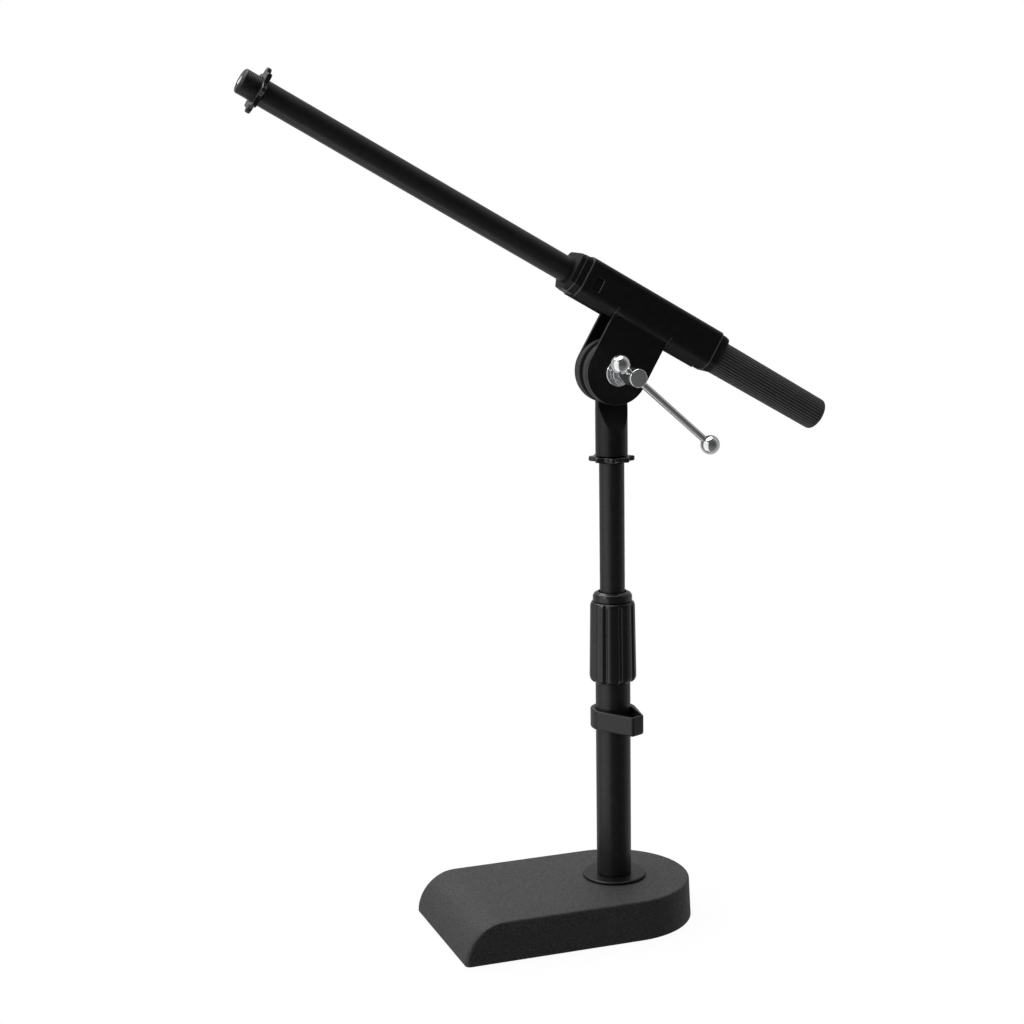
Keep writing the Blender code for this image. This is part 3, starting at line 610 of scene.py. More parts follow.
def bare_steel_painted_highlight():
    """Bare machined steel in the middle of the stud's painted end face; its pale colour also serves
    as a painted highlight there.
    """
    look = Nodes("bare_steel_painted_highlight_disc", (0.75, 0.75, 0.76), 0.5, 0.6)
    look.mixed(look.noise(900.0, 3.0), (0.68, 0.68, 0.69), (0.86, 0.86, 0.87))
    look.rough(look.ranged(look.noise(1500.0, 2.0), 0.4, 0.6))
    look.grained(2400.0, 0.1, 0.00005)
    return look.material


def pale_floor():
    """A pale translucent table top: most light passes through it, as over a light box."""
    look = Nodes("pale_floor", (0.86, 0.86, 0.86), 0.9, specular=0.1)
    look.mixed(look.noise(3.0, 2.0), (0.855, 0.855, 0.855), (0.865, 0.865, 0.865))
    clear = look.node("ShaderNodeBsdfTransparent", {})
    mix = look.node("ShaderNodeMixShader", {"Fac": FLOOR_CLEAR, 1: look.shader.outputs["BSDF"],
                                            2: clear.outputs["BSDF"]})
    look.link(mix.outputs["Shader"], look.tree.nodes["Material Output"].inputs["Surface"])
    return look.material


# ---- base ----
def nose_x(height, front, top):
    """Front edge of the casting at a height, on its quarter round."""
    rise = min(max(height - (top - NOSE_R), 0.0), NOSE_R)
    return front + NOSE_R - math.sqrt(NOSE_R ** 2 - rise ** 2)


def base_plan(half, front, corner):
    """Square front with small corners, half-round rear."""
    points = arc((BASE_REAR, 0.0), half, -math.pi / 2, math.pi / 2, 64)
    points += arc((front + corner, half - corner), corner, math.pi / 2, math.pi, 8)
    points += arc((front + corner, corner - half), corner, math.pi, 1.5 * math.pi, 8)
    return points


def make_base(paint, rubber):
    low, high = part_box("base_casting")
    pad_low, pad_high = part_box("base_pad")
    top, front = high.z, low.x

    def section(height, inset):
        half = high.y - BASE_DRAFT * height / top - inset
        return level(base_plan(half, nose_x(height, front, top) + inset, BASE_CORNER), height)

    upper = top - BASE_TOP_EDGE
    lower = low.z + BASE_FOOT_EDGE
    rings = [section(top - BASE_TOP_EDGE * (1.0 - math.sin(turn)),
                     BASE_TOP_EDGE * (1.0 - math.cos(turn))) for turn in reversed(quarter(7))]
    rings += [section(upper + (lower - upper) * i / 22.0, 0.0) for i in range(1, 23)]
    rings += [section(lower - BASE_FOOT_EDGE * math.sin(turn),
                      BASE_FOOT_EDGE * (1.0 - math.cos(turn))) for turn in quarter(4, 1)]
    recess = base_plan(pad_high.y + GAP, pad_low.x - GAP, BASE_CORNER)
    rings += [level(recess, low.z), level(recess, PAD_RECESS)]
    stand_for(lofted("base_casting_shape", rings, sharp=50.0), "base_casting", paint)

    def pad_section(height, inset):
        return level(base_plan(pad_high.y - inset, pad_low.x + inset, BASE_CORNER), height)

    pad = lofted("base_pad_shape", [pad_section(pad_high.z, 0.0), pad_section(PAD_EDGE, 0.0),
                                    pad_section(0.0, PAD_EDGE)])
    stand_for(pad, "base_pad", rubber)


# ---- pole ----
def tube(node, box, wall, material, place=UPRIGHT):
    """A tube with small rounded rims, standing for a CAD node."""
    low, high = box
    outer, inner, edge = high.x, high.x - wall, 0.0003
    outline = filleted([(outer, high.z, edge), (outer, low.z, edge), (inner, low.z, edge),
                        (inner, high.z, edge)], 3)
    return stand_for(turned(node + "_shape", outline, place), node, material)


def disc(node, box, bore, top_edge, low_edge, material, place=UPRIGHT):
    """A flat ring with rounded rims, standing for a CAD node."""
    low, high = box
    outline = filleted([(high.x, high.z, top_edge), (high.x, low.z, low_edge), (bore, low.z),
                        (bore, high.z)], 5)
    return stand_for(turned(node + "_shape", outline, place), node, material)


def make_pole(paint, sheet, steel):
    disc("foot_flange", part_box("foot_flange"), FLANGE_BORE, 0.0010, 0.0003, sheet)
    tube("lower_tube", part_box("lower_tube"), LOWER_WALL, paint)
    tube("upper_tube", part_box("upper_tube"), UPPER_WALL, paint)

    low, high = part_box("pole_stud")
    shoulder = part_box("upper_tube")[1].z + GAP
    threaded_stud("pole_stud", UPRIGHT, low.z, shoulder, high.z, high.x, steel)


def threaded_stud(node, place, low, shoulder, high, radius, material, centre=0.0):
    """A stud whose upper part carries a fine helical thread, with a dished centre if asked."""
    rows_per_turn = 8
    spigot = radius - 0.0012
    thread_low = shoulder + 0.0012
    thread_high = high - 0.0014
    crest = radius - 0.00006
    dish = [(0.0, high)]
    if centre:
        dish = [(0.0, high - 0.0006), (centre * 0.5, high - 0.00055), (centre, high - 0.0002),
                (centre + 0.0003, high)]
    end = dish + [(radius - 0.0022, high), (radius - 0.0011, high - 0.00025),
                  (radius - 0.0004, high - 0.0008)]
    loops = [[point] * ROUND for point in end]
    rows = int((thread_high - thread_low) / THREAD_PITCH * rows_per_turn)
    for row in range(rows + 1):
        z = thread_high + (thread_low - thread_high) * row / rows
        depth = THREAD_DEPTH * min(1.0, row / 6.0, (rows - row) / 6.0)
        phases = [(z / THREAD_PITCH + i / ROUND) % 1.0 for i in range(ROUND)]
        loops.append([(crest - depth * abs(phase * 2.0 - 1.0), z) for phase in phases])
    foot = [(radius - 0.0003, shoulder), (spigot, shoulder), (spigot, low), (0.0, low)]
    loops += [[point] * ROUND for point in foot]
    bm = bmesh.new()
    skin(bm, [spun_row(bm, loop) for loop in loops], ROUND)
    piece = weigh_normals(finish_mesh(node + "_shape", bm, place, 40.0))
    return stand_for(piece, node, material)


# ---- clutch, clip and lock rings ----
def fluted(height, radius, depth, count):
    """A loop of broad flat pads between narrow grooves."""
    radii = []
    for i in range(count):
        turn = math.tau * i / count
        across = math.cos((turn - CLUTCH_PHASE) * CLUTCH_LOBES / 2)
        groove = math.exp(-((1.0 - abs(across)) / CLUTCH_GROOVE_WIDTH))
        crown = CLUTCH_CROWN * across ** 2
        radii.append(radius - depth * groove - crown)
    return polar(radii, height)


def make_clutch(gloss):
    low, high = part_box("clutch_sleeve")
    ring_low, ring_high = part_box("clutch_ring")
    count = CLUTCH_LOBES * 32
    foot, head = CLUTCH_FOOT_R, CLUTCH_HEAD_R
    shoulder = (ring_high.x - ring_low.x) / 2.0
    crown, hem, tuck = 0.0028, 0.0042, 0.0026
    loops = [circle_loop(high.z, shoulder, count)]
    for i, turn in enumerate(quarter(7, 1), 1):
        radius = shoulder + (head - shoulder) * math.sin(turn)
        z = high.z - crown * (1.0 - math.cos(turn))
        loops.append(fluted(z, radius, CLUTCH_GROOVE * max(0.0, (i - 2) / 5.0), count))
    for i in range(1, 9):
        share = i / 8.0
        z = high.z - crown - (high.z - low.z - crown - hem) * share
        loops.append(fluted(z, head + (foot - head) * share, CLUTCH_GROOVE, count))
    steep = math.radians(78.0)
    for i in range(1, 9):
        turn = steep * i / 8.0
        z = low.z + hem * (1.0 - math.sin(turn) / math.sin(steep))
        loops.append(fluted(z, foot - tuck * (1.0 - math.cos(turn)), CLUTCH_GROOVE, count))
    seat_low, seat_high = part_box("clutch_seat")
    step = seat_low.z - 2 * GAP
    cone = seat_high.z + 2 * GAP
    bores = ((low.z, CLUTCH_MOUTH), (step, CLUTCH_MOUTH), (step, CLUTCH_BORE), (cone, CLUTCH_BORE),
             (high.z - CLUTCH_CONE, CLUTCH_THROAT), (high.z, CLUTCH_THROAT))
    loops += [circle_loop(height, radius, count) for height, radius in bores]
    sleeve = lofted("clutch_sleeve_shape", loops, closed=True, sharp=55.0)
    stand_for(sleeve, "clutch_sleeve", gloss)

    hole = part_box("upper_tube")[1].x + 3 * GAP
    outer = ring_high.x
    outline = filleted([(hole, ring_high.z, 0.0005), (outer - 0.0009, ring_high.z - 0.0014, 0.0012),
                        (outer, ring_high.z - 0.0030, 0.0010), (outer, ring_low.z, 0.0006),
                        (hole, ring_low.z)], 6)
    stand_for(turned("clutch_ring_shape", outline), "clutch_ring", gloss)


def clip_plan(radius, shrink):
    """Round the tube at the back, with two straight walls running to a flat nose in front."""
    along = (CLIP_NOSE[1] - CLIP_NOSE[0]).normalized()
    outward = Vector((along.y, -along.x))
    circles = [(Vector((0.0, 0.0)), radius)]
    for point, side in zip(CLIP_NOSE, (1.0, -1.0)):
        circles.append((point - outward * CLIP_CORNER + along * side * CLIP_CORNER,
                        max(CLIP_CORNER - shrink, 0.0004)))
    tangents = []
    for (c0, r0), (c1, r1) in zip(circles, circles[1:] + circles[:1]):
        gap = c1 - c0
        lean = math.acos((r0 - r1) / gap.length)
        tangents.append(math.atan2(gap.y, gap.x) - lean)
    points = []
    for i, (centre, r) in enumerate(circles):
        start, end = tangents[i - 1], tangents[i]
        while end < start:
            end += math.tau
        points += arc(centre, r, start, end, 60 if i == 0 else 8)
    return points


def make_clip(plastic):
    low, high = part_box("cable_clip")
    outer = high.y
    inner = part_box("lower_tube")[1].x + GAP
    wall, edge, hem, count = 0.0019, 0.0007, 0.0018, 160
    loops = []

    def ring(radius, shrink, height):
        loops.append(level(resampled(clip_plan(radius, shrink), count), height))

    for turn in quarter(4):
        inset = edge * (1.0 - math.sin(turn))
        ring(outer - inset, inset, high.z - edge * (1.0 - math.cos(turn)))
    for turn in quarter(6):
        inset = hem / 2.0 * (1.0 - math.cos(turn))
        ring(outer - inset, inset, low.z + hem * (1.0 - math.sin(turn)))
    ring(inner + GAP, wall - GAP, low.z)
    ring(inner, wall, low.z + GAP)
    ring(inner, wall, high.z - GAP)
    ring(inner + GAP, wall - GAP, high.z)
    clip = lofted("cable_clip_shape", loops, closed=True, sharp=50.0)
    stand_for(clip, "cable_clip", plastic)


def scalloped(height, radius, count):
    """Rounded lobes with hollows between them."""
    radii = []
    for i in range(count):
        wave = 0.5 + 0.5 * math.cos(math.tau * i / count * RING_LOBES)
        radii.append(radius - RING_DIP * (1.0 - wave ** RING_SHARPNESS))
    return polar(radii, height)


def make_lock_ring(node, place, plastic):
    low, high = node_box(node, place)
    radius = high.y
    edge = 0.0009
    count = RING_LOBES * 24
    bore, mouth = STUD_BORE, STUD_BORE + GAP
    loops = [scalloped(high.z - edge * (1.0 - math.cos(turn)),
                       radius - edge * (1.0 - math.sin(turn)), count) for turn in quarter(5)]
    loops += [scalloped(low.z + edge * (1.0 - math.sin(turn)),
                        radius - edge * (1.0 - math.cos(turn)), count) for turn in quarter(5)]
    loops += [circle_loop(low.z, mouth, count), circle_loop(low.z + GAP, bore, count),
              circle_loop(high.z - GAP, bore, count), circle_loop(high.z, mouth, count)]
    ring = lofted(node + "_shape", loops, place, closed=True, sharp=50.0)
    stand_for(ring, node, plastic)


# ---- swivel ----
def make_swivel(paint, rubber):
    low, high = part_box("pivot_base")
    radius = high.y
    tang_r = high.z - PIVOT.z
    outline = filleted([(0.0, PIVOT.z), (radius, PIVOT.z), (radius, low.z, 0.0006),
                        (0.0, low.z)], 4)
    body = turned("pivot_base_shape", outline)
    body.modifiers.clear()
    tang = rod_tool("tang_tool", tang_r, -radius, radius, SCREW)
    combine(body, tang, "UNION")
    cutters = []
    beyond = 0.004
    wide, tall, reach = radius + beyond, high.z + beyond, tang_r + beyond
    slope = (SHOULDER_HIGH - SHOULDER_LOW) / (radius - TANG_HALF)
    flat = [(TANG_HALF, tall), (TANG_HALF, SHOULDER_HIGH), (wide, SHOULDER_LOW - slope * beyond),
            (wide, tall)]
    for side in (-1.0, 1.0):
        loops = [[(x, side * y, z) for y, z in flat] for x in (-reach, reach)]
        cutters.append(lofted(f"flat_tool_{side:+.0f}", loops))
    floor, mouth = low.z + SOCKET_DEPTH, low.z - beyond
    cutters.append(rod_tool("socket_tool", STUD_BORE, mouth, floor, UPRIGHT))
    cutters.append(rod_tool("swivel_bore_tool", SCREW_BORE, -radius, radius, SCREW))
    for tool in cutters:
        combine(body, tool)
    baked(body, tang, *cutters)
    round_edges(body, 0.0004, 3, 25.0)
    stand_for(body, "pivot_base", paint)

    for node in ("friction_disc_near", "friction_disc_far"):
        disc(node, node_box(node, SCREW), SCREW_BORE, 0.0009, 0.0009, rubber, SCREW)


# ---- clamp ----
def bracket_sections(half, top, ear):
    """The folded sheet's outer sections as (y, h) from the boom's axis: cover, lip and neck."""
    bend, lip_bend, ear_bend = 0.0040, 0.0050, 0.0020
    kink, lip_y, ear_start = -0.0072, 0.0080, -0.0140
    start = kink + lip_bend * math.tan(math.pi / 8)
    cover = [(0.0, top)] + arc((half - bend, top - bend), bend, math.pi / 2, 0.0, 10)
    cover.append((half, start))
    fold = arc((half - lip_bend, start), lip_bend, 0.0, -math.pi / 4, 8)
    lip = fold + [(lip_y, kink - (half - lip_y))]
    foot = kink - (half - ear) - ear_bend * math.tan(math.pi / 8)
    back = arc((ear + ear_bend, foot), ear_bend, 0.75 * math.pi, math.pi, 6)
    return cover, lip, fold + back + [(ear, ear_start)]


def make_bracket(edge):
    low, high = node_box("clamp_bracket", CLAMP)
    half = high.y
    top = high.z - BOOM_RISE
    ear_r = -low.z
    relief = 0.00025
    ear_face = -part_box("screw_washer")[1].y - GAP
    cover, lip, neck = bracket_sections(half, top, ear_face)
    ear_start = neck[-1][1]
    stations = [low.x, -ear_r - relief, -ear_r, ear_r, ear_r + relief, high.x]
    bm = bmesh.new()
    grid = {}

    def vertex(u, y, h):
        key = (round(u, 6), round(y, 6), round(h, 6))
        if key not in grid:
            grid[key] = bm.verts.new((u, y, h + BOOM_RISE))
        return grid[key]

    def strip(points, u_low, u_high):
        for (y0, h0), (y1, h1) in zip(points, points[1:]):
            bm.faces.new((vertex(u_low, y0, h0), vertex(u_high, y0, h0),
                          vertex(u_high, y1, h1), vertex(u_low, y1, h1)))

    whole = [(-y, h) for y, h in reversed(cover[1:])] + cover
    for start, end in zip(stations, stations[1:]):
        strip(whole, start, end)
    for side in (-1.0, 1.0):
        for points, start, end in ((lip, 0, 1), (lip, 4, 5), (neck, 2, 3)):
            strip([(side * y, h) for y, h in points], stations[start], stations[end])
        y = side * ear_face
        shoulder = [vertex(u, y, ear_start) for u in (ear_r, -ear_r)]
        rim = [bm.verts.new((u, y, z)) for u, z in arc((0.0, 0.0), ear_r, math.pi, math.tau, 64)]
        bm.faces.new(shoulder + rim)
    bracket = finish_mesh("clamp_bracket_shape", bm, CLAMP)
    wall = bracket.modifiers.new("sheet", "SOLIDIFY")
    wall.thickness = SHEET
    wall.offset = -1.0
    wall.use_even_offset = True
    bore = rod_tool("bracket_bore_tool", SCREW_BORE, -0.03, 0.03, SCREW)
    window = window_block("window_tool", WINDOW_HALF, 0.0005, 0.03)
    for tool in (bore, window):
        combine(bracket, tool)
    baked(bracket, bore, window)
    # painted highlight bands at the barrel's two ends, for the bright lines along its end edges
    ends = (low.x + HIGHLIGHT_BAND_HALF, high.x - HIGHLIGHT_BAND_HALF)
    bracket = stand_for(bracket, "clamp_bracket", sheet_paint("satin_black_bracket_coat", ends))
    round_edges(bracket, SHEET_EDGE, 3, 50.0)
    # the rounded edges take the painted edge highlight
    bracket.data.materials.append(edge)
    bracket.modifiers["edges"].material = 1
    # so do the window's rear wall and sill, as painted highlight lines
    half_long, half_tall = WINDOW_HALF
    rear_wall, sill = WINDOW_CENTRE + half_long, BOOM_RISE - half_tall
    for polygon in bracket.data.polygons:
        u, _, z = polygon.center
        beside = abs(u - rear_wall) < 0.0003 and abs(z - BOOM_RISE) < half_tall
        below = abs(z - sill) < 0.0003 and abs(u - WINDOW_CENTRE) < half_long
        if beside or below:
            polygon.material_index = 1


def window_block(name, half, corner, reach):
    """A block through both of the barrel's side windows."""
    half_long, half_tall = half
    outline = filleted([(WINDOW_CENTRE + i * half_long, BOOM_RISE + j * half_tall, corner)
                        for i, j in ((-1, -1), (1, -1), (1, 1), (-1, 1))], 3)
    return lofted(name, [[(u, y, z) for u, z in outline] for y in (-reach, reach)], CLAMP)


def bush_plan(section, inset, corner):
    """A bush's section as (y, z) in the clamp's frame, smaller all round by an inset."""
    half, top, bottom, slant = section
    half, top, bottom = half - inset, top - inset, bottom + inset
    slant -= inset * math.sqrt(2.0)
    side = [(slant + bottom, bottom, 0.0006), (half, half - slant, 0.0006), (half, top, corner)]
    corners = side + [(-y, h, r) for y, h, r in reversed(side)]
    return [(y, h + BOOM_RISE) for y, h in filleted(corners, 5)]


def make_bush(node, plastic, edge, with_lug):
    """Flanged plastic liner; only its collar, throat and lug are seen."""
    low, high = node_box(node, CLAMP)
    sheet_low, sheet_high = node_box("clamp_bracket", CLAMP)
    out = 1.0 if high.x > 0.0 else -1.0
    barrel = sheet_high.x if out > 0.0 else sheet_low.x
    face = high.x if out > 0.0 else low.x
    body_end = low.x if out > 0.0 else high.x
    full = barrel + out * (FRONT_COLLAR if with_lug else REAR_COLLAR)
    root = barrel + out * GAP
    bevel, taper = COLLAR_BEVEL, COLLAR_TAPER
    stations = [(face, taper + 0.0003), (face - out * 0.0001, taper + 0.0001),
                (face - out * 0.0004, taper - 0.0001), (full + out * bevel * 0.7, bevel),
                (full - out * bevel * 0.3, GAP), (root + out * 0.0003, GAP), (root, 0.0003)]
    rings = [[(u, y, z) for y, z in bush_plan(COLLAR, inset, COLLAR_CORNER - inset)]
             for u, inset in stations]
    body = bush_plan(BARREL, SHEET + GAP, 0.0015)
    rings += [[(u, y, z) for y, z in body] for u in (root, body_end)]
    bush = lofted(node + "_shape", rings, CLAMP)
    bush.modifiers.clear()
    tools = []
    if with_lug:
        tools.append(window_block("lug_tool", LUG_HALF, 0.0, LUG_REACH))
        combine(bush, tools[0], "UNION")
    throat = rod_tool("throat_tool", BUSH_BORE, -0.09, 0.09, BOOM)
    combine(bush, throat)
    baked(bush, throat, *tools)
    weigh_normals(bush)
    bush = stand_for(bush, node, plastic)
    # the front collar's bevel ring takes the painted edge highlight
    bush.data.materials.append(edge)
    for polygon in bush.data.polygons if with_lug else ():
        if abs(polygon.center.x - full - out * bevel * 0.2) < bevel * 0.45:
            polygon.material_index = 1


def make_screw(bright):
    """Chrome clamp screw and the washer under its collar."""
    washer = node_box("screw_washer", SCREW)
    disc("screw_washer", washer, SCREW_BORE, 0.0008, 0.0003, bright, SCREW)
    collar_low = washer[1].z + GAP

    low, high = node_box("clamp_screw", SCREW)
    outline = filleted([(0.0, high.z), (high.x, high.z, 0.0008), (high.x, HEAD_LOW, 0.0008),
                        (SHANK_R, HEAD_LOW), (SHANK_R, SHANK_COLLAR_TOP),
                        (SHANK_COLLAR_R, SHANK_COLLAR_TOP, 0.0005),
                        (SHANK_COLLAR_R, collar_low, 0.0003), (SHANK_R, collar_low),
                        (SHANK_R, low.z, 0.0006), (0.0, low.z)], 5)
    screw = turned("clamp_screw_shape", outline, SCREW, ROUND)
    screw.modifiers.clear()
    hole = rod_tool("cross_hole_tool", CROSS_HOLE_R, -0.02, 0.02, t_bar_place())
    combine(screw, hole)
    baked(screw, hole)
    round_edges(screw, 0.0002, 2, 40.0)
    stand_for(screw, "clamp_screw", bright)


def t_bar_place():
    """The T-bar's frame, Z along the bar, away from its upper ball."""
    bar_low, bar_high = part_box("t_bar")
    bar_y = (bar_low.y + bar_high.y) / 2.0
    return axes_frame(Vector((PIVOT.x, bar_y, PIVOT.z)), (0.0, 1.0, 0.0), -TO_UPPER_BALL)


def make_t_bar(bright):
    """Plain rod with a ball pressed on each end."""
    place = t_bar_place()
    low, high = node_box("t_bar", place)
    radius = high.x
    outline = filleted([(0.0, high.z), (radius, high.z, 0.0003), (radius, low.z, 0.0003),
                        (0.0, low.z)], 3)
    stand_for(turned("t_bar_shape", outline, place, SLIM), "t_bar", bright)
    neck = radius + 0.0004
    for node in ("t_bar_ball_upper", "t_bar_ball_lower"):
        low, high = node_box(node, place)
        middle = (low.z + high.z) / 2.0
        ball = (high.z - low.z) / 2.0
        inward = -1.0 if middle > 0.0 else 1.0
        sweep = math.asin(neck / ball)
        angles = [math.pi - (math.pi - sweep) * i / 40.0 for i in range(41)]
        outline = [(ball * math.sin(a), inward * ball * math.cos(a)) for a in angles]
        outline[0] = (0.0, -inward * ball)
        seat = inward * ball * 0.35
        outline += [(neck, seat), (0.0, seat)]
        centre = place @ Matrix.Translation((0.0, 0.0, middle))
        stand_for(turned(node + "_shape", outline, centre, FINE), node, bright)


def make_nut(bright):
    """Hexagon nut on the far side, its corners turned off."""
    low, high = node_box("clamp_nut", SCREW)
    flats = (high.x - low.x) / 2.0
    corner = flats / math.cos(math.pi / 6)
    angles = [math.pi / 6 + math.pi / 3 * i for i in range(6)]
    outline = [(corner * math.cos(a), corner * math.sin(a)) for a in angles]
    nut = lofted("clamp_nut_shape", [level(outline, high.z), level(outline, low.z)], SCREW)
    nut.modifiers.clear()
    bore = rod_tool("nut_tool", SHANK_R + GAP, low.z - 0.004, high.z + 0.004, SCREW)
    cone_out = corner + 0.001
    dome = turned("nut_dome_tool", [(0.0, high.z + 0.001), (cone_out, high.z + 0.001),
                                    (cone_out, low.z + 0.0016), (flats - 0.0002, low.z - GAP),
                                    (0.0, low.z - GAP)], SCREW, ROUND)
    combine(nut, dome, "INTERSECT")
    combine(nut, bore)
    baked(nut, bore, dome)
    round_edges(nut, 0.0002, 2, 40.0)
    stand_for(nut, "clamp_nut", bright)


# ---- boom ----
def make_boom(paint, steel, bare_and_highlight):
    tube_box = node_box("boom_tube", BOOM)
    tube("boom_tube", tube_box, UPPER_WALL, paint, BOOM)
    shoulder = tube_box[1].z + GAP
    low, high = node_box("boom_stud", BOOM)
    stud = threaded_stud("boom_stud", BOOM, low.z, shoulder, high.z, high.x, steel, STUD_CENTRE_R)
    # the bare centre disc, pale also as a painted highlight
    stud.data.materials.append(bare_and_highlight)
    for polygon in stud.data.polygons:
        middle = polygon.center
        if middle.z > high.z - 0.001 and math.hypot(middle.x, middle.y) < STUD_CENTRE_R:
            polygon.material_index = 1


def make_grip(rubber):
    """Ribbed sleeve, tapering a little towards its rounded closed end."""
    tube_low, tube_high = node_box("boom_tube", BOOM)
    low, high = node_box("boom_grip", BOOM)
    radius, bore = high.x, tube_high.x + GAP
    count = GRIP_RIBS * 8
    edge = GRIP_TAIL_EDGE

    def ribbed(height, inset, depth):
        share = (high.z - height) / (high.z - low.z)
        here = radius + (GRIP_TAIL_R - radius) * min(max(share, 0.0), 1.0)
        turns = [math.tau * i / count for i in range(count)]
        waves = [abs(math.sin(turn * GRIP_RIBS / 2.0)) ** GRIP_RIB_FULLNESS for turn in turns]
        return polar([here - inset - depth * (1.0 - wave) for wave in waves], height)

    loops = [circle_loop(high.z, bore + 0.0002, count), circle_loop(high.z, radius - 0.0009, count),
             ribbed(high.z - 0.0003, 0.0003, 0.0),
             ribbed(high.z - 0.0010, 0.0001, GRIP_RIB_DEPTH * 0.5)]
    first, last = high.z - 0.0018, low.z + edge + 0.0012
    loops += [ribbed(first + (last - first) * i / 11.0, 0.0, GRIP_RIB_DEPTH) for i in range(12)]
    for i, turn in enumerate(quarter(7, 1), 1):
        loops.append(ribbed(low.z + edge * (1.0 - math.sin(turn)), edge * (1.0 - math.cos(turn)),
                            GRIP_RIB_DEPTH * max(0.0, 1.0 - i / 3.0)))
    dimple = low.z + 0.0005
    inside = tube_low.z - GAP
    ends = ((low.z, 0.0050), (dimple, 0.0044), (dimple, 0.0002), (inside, 0.0002), (inside, bore),
            (high.z - 0.0002, bore))
    loops += [circle_loop(height, r, count) for height, r in ends]
    grip = lofted("boom_grip_shape", loops, BOOM, closed=True, sharp=40.0)
    stand_for(grip, "boom_grip", rubber)


# ---- stage ----
def key_light():
    """A small bright lamp high on the left, for the sparks on edges and polished plastic."""
    lamp = bpy.data.lights.new("key_light", "AREA")
    lamp.shape = "SQUARE"
    lamp.size = KEY_SIZE
    lamp.energy = KEY_POWER
    holder = bpy.data.objects.new("key_light", lamp)
    bpy.context.scene.collection.objects.link(holder)
    holder.location = KEY_TARGET + KEY_DIRECTION * KEY_DISTANCE
    holder.rotation_euler = KEY_DIRECTION.to_track_quat("Z", "Y").to_euler()


def make_world():
    """White to the eye; as light, bright behind the stand and on the left, dim elsewhere."""
    world = bpy.data.worlds.new("studio")
    world.use_nodes = True
    bpy.context.scene.world = world
    tree = world.node_tree
    backdrop = tree.nodes["Background"]
    backdrop.inputs["Color"].default_value = (1.0, 1.0, 1.0, 1.0)
    backdrop.inputs["Strength"].default_value = 1.0
    where = tree.nodes.new("ShaderNodeTexCoord").outputs["Generated"]

    def vector_step(operation, *values):
        inputs = dict(enumerate(values))
        return add_node(tree, "ShaderNodeVectorMath", inputs, operation=operation).outputs

    def number_step(operation, first, second):
        inputs = {0: first, 1: second}
        return add_node(tree, "ShaderNodeMath", inputs, operation=operation).outputs["Value"]

    def fade(way, direction, cosines, first, last):
        """A strength that changes smoothly between two cosines from a direction."""
        inputs = {"Value": vector_step("DOT_PRODUCT", way, direction)["Value"],
                  "From Min": cosines[0], "From Max": cosines[1], "To Min": first, "To Max": last}
        return add_node(tree, "ShaderNodeMapRange", inputs,
                        interpolation_type="SMOOTHSTEP").outputs["Result"]

    level_way = vector_step("MULTIPLY", where, (1.0, 1.0, 0.0))["Vector"]
    level_way = vector_step("NORMALIZE", level_way)["Vector"]
    behind = fade(where, BACK_DIRECTION, BACK_FADE, ROOM_FRONT, ROOM_BACK)
    beside = fade(level_way, LEFT_DIRECTION, LEFT_FADE, 0.0, LEFT_GLOW)
    height = fade(where, (0.0, 0.0, 1.0), HEIGHT_FADE, 1.0, 0.0)
    beneath = fade(where, (0.0, 0.0, -1.0), BENEATH_FADE, 0.0, FLOOR_GLOW)
    around = number_step("ADD", behind, number_step("MULTIPLY", beside, height))
    glow = number_step("ADD", around, beneath)
    room = add_node(tree, "ShaderNodeBackground", {"Color": (1.0, 1.0, 1.0, 1.0), "Strength": glow})
    seen = tree.nodes.new("ShaderNodeLightPath").outputs["Is Camera Ray"]
    mix = add_node(tree, "ShaderNodeMixShader", {"Fac": seen, 1: room.outputs["Background"],
                                                 2: backdrop.outputs["Background"]})
    tree.links.new(mix.outputs["Shader"], tree.nodes["World Output"].inputs["Surface"])


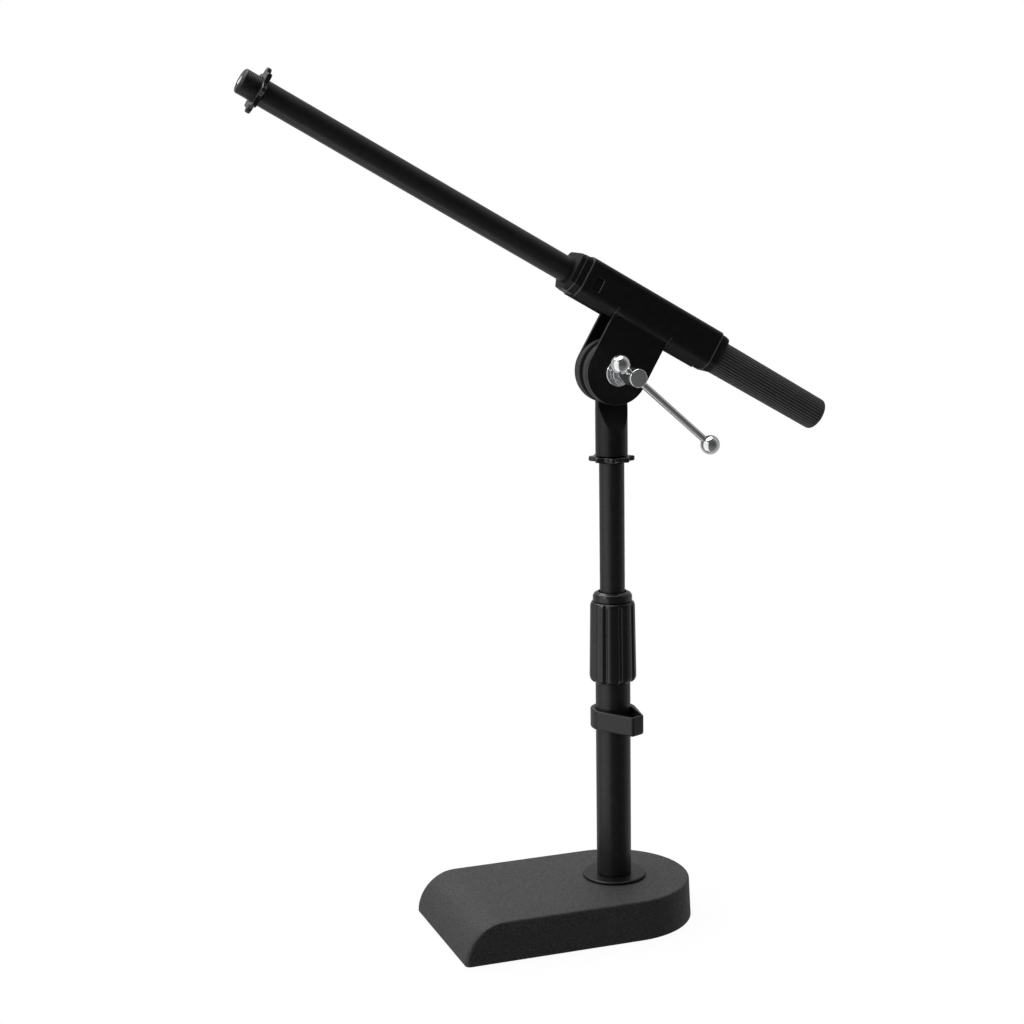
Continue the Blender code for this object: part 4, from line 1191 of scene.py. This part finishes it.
def make_stage():
    bpy.ops.mesh.primitive_circle_add(vertices=96, radius=6.0, fill_type="NGON",
                                      location=(0.0, 0.0, FLOOR_LEVEL))
    floor = bpy.context.object
    floor.name = "floor"
    floor.data.materials.append(pale_floor())

    sun = bpy.data.lights.new("overhead_light", "SUN")
    sun.energy = OVERHEAD
    sun.angle = OVERHEAD_SPREAD
    overhead = bpy.data.objects.new("overhead_light", sun)
    bpy.context.scene.collection.objects.link(overhead)
    overhead.rotation_euler = OVERHEAD_TILT


def make_camera():
    """Long lens from the front left, a little above the clamp."""
    camera = bpy.data.cameras.new("camera")
    camera.sensor_width = 36.0
    camera.lens = CAMERA_LENS
    camera.clip_start = 0.01
    holder = bpy.data.objects.new("camera", camera)
    bpy.context.scene.collection.objects.link(holder)
    holder.matrix_world = axes_frame(CAMERA_AT, CAMERA_RIGHT, -CAMERA_FORWARD)
    bpy.context.scene.camera = holder


# ---- assembly ----
def make_all():
    sand, paint, gloss = sand_paint(), tube_paint_painted_lighter(), gloss_plastic()
    plastic, rubber = matte_plastic(), black_rubber()
    dark, zinc, bright = black_steel(), zinc_steel(), chrome()

    make_base(sand, rubber)
    sheet = sheet_paint()
    make_pole(paint, sheet, dark)
    make_clutch(gloss)
    make_clip(satin_plastic())
    make_lock_ring("pole_lock_ring", Matrix.Rotation(POLE_RING_TURN, 4, "Z"), gloss)
    make_lock_ring("tip_lock_ring", BOOM, gloss)
    make_swivel(sheet, rubber)
    # painted highlight for edges, used on the bracket and the front bush
    edge = edge_highlight_paint()
    make_bracket(edge)
    make_bush("front_bush", plastic, edge, True)
    make_bush("rear_bush", plastic, edge, False)
    make_screw(bright)
    make_t_bar(bright)
    make_nut(bright)
    make_boom(paint, dark, bare_steel_painted_highlight())
    make_grip(ribbed_rubber_painted_shade(GRIP_RIBS))

    kept = {"base_bolt": zinc, "base_washer": zinc, "foot_plug": zinc, "clutch_seat": zinc,
            "clutch_collet": plastic, "tail_bush": plastic, "boom_plug": plastic}
    for node, material in kept.items():
        NODES[node].data.materials.clear()
        NODES[node].data.materials.append(material)


bpy.context.scene.view_settings.view_transform = "Standard"
make_all()
make_world()
make_stage()
key_light()
make_camera()
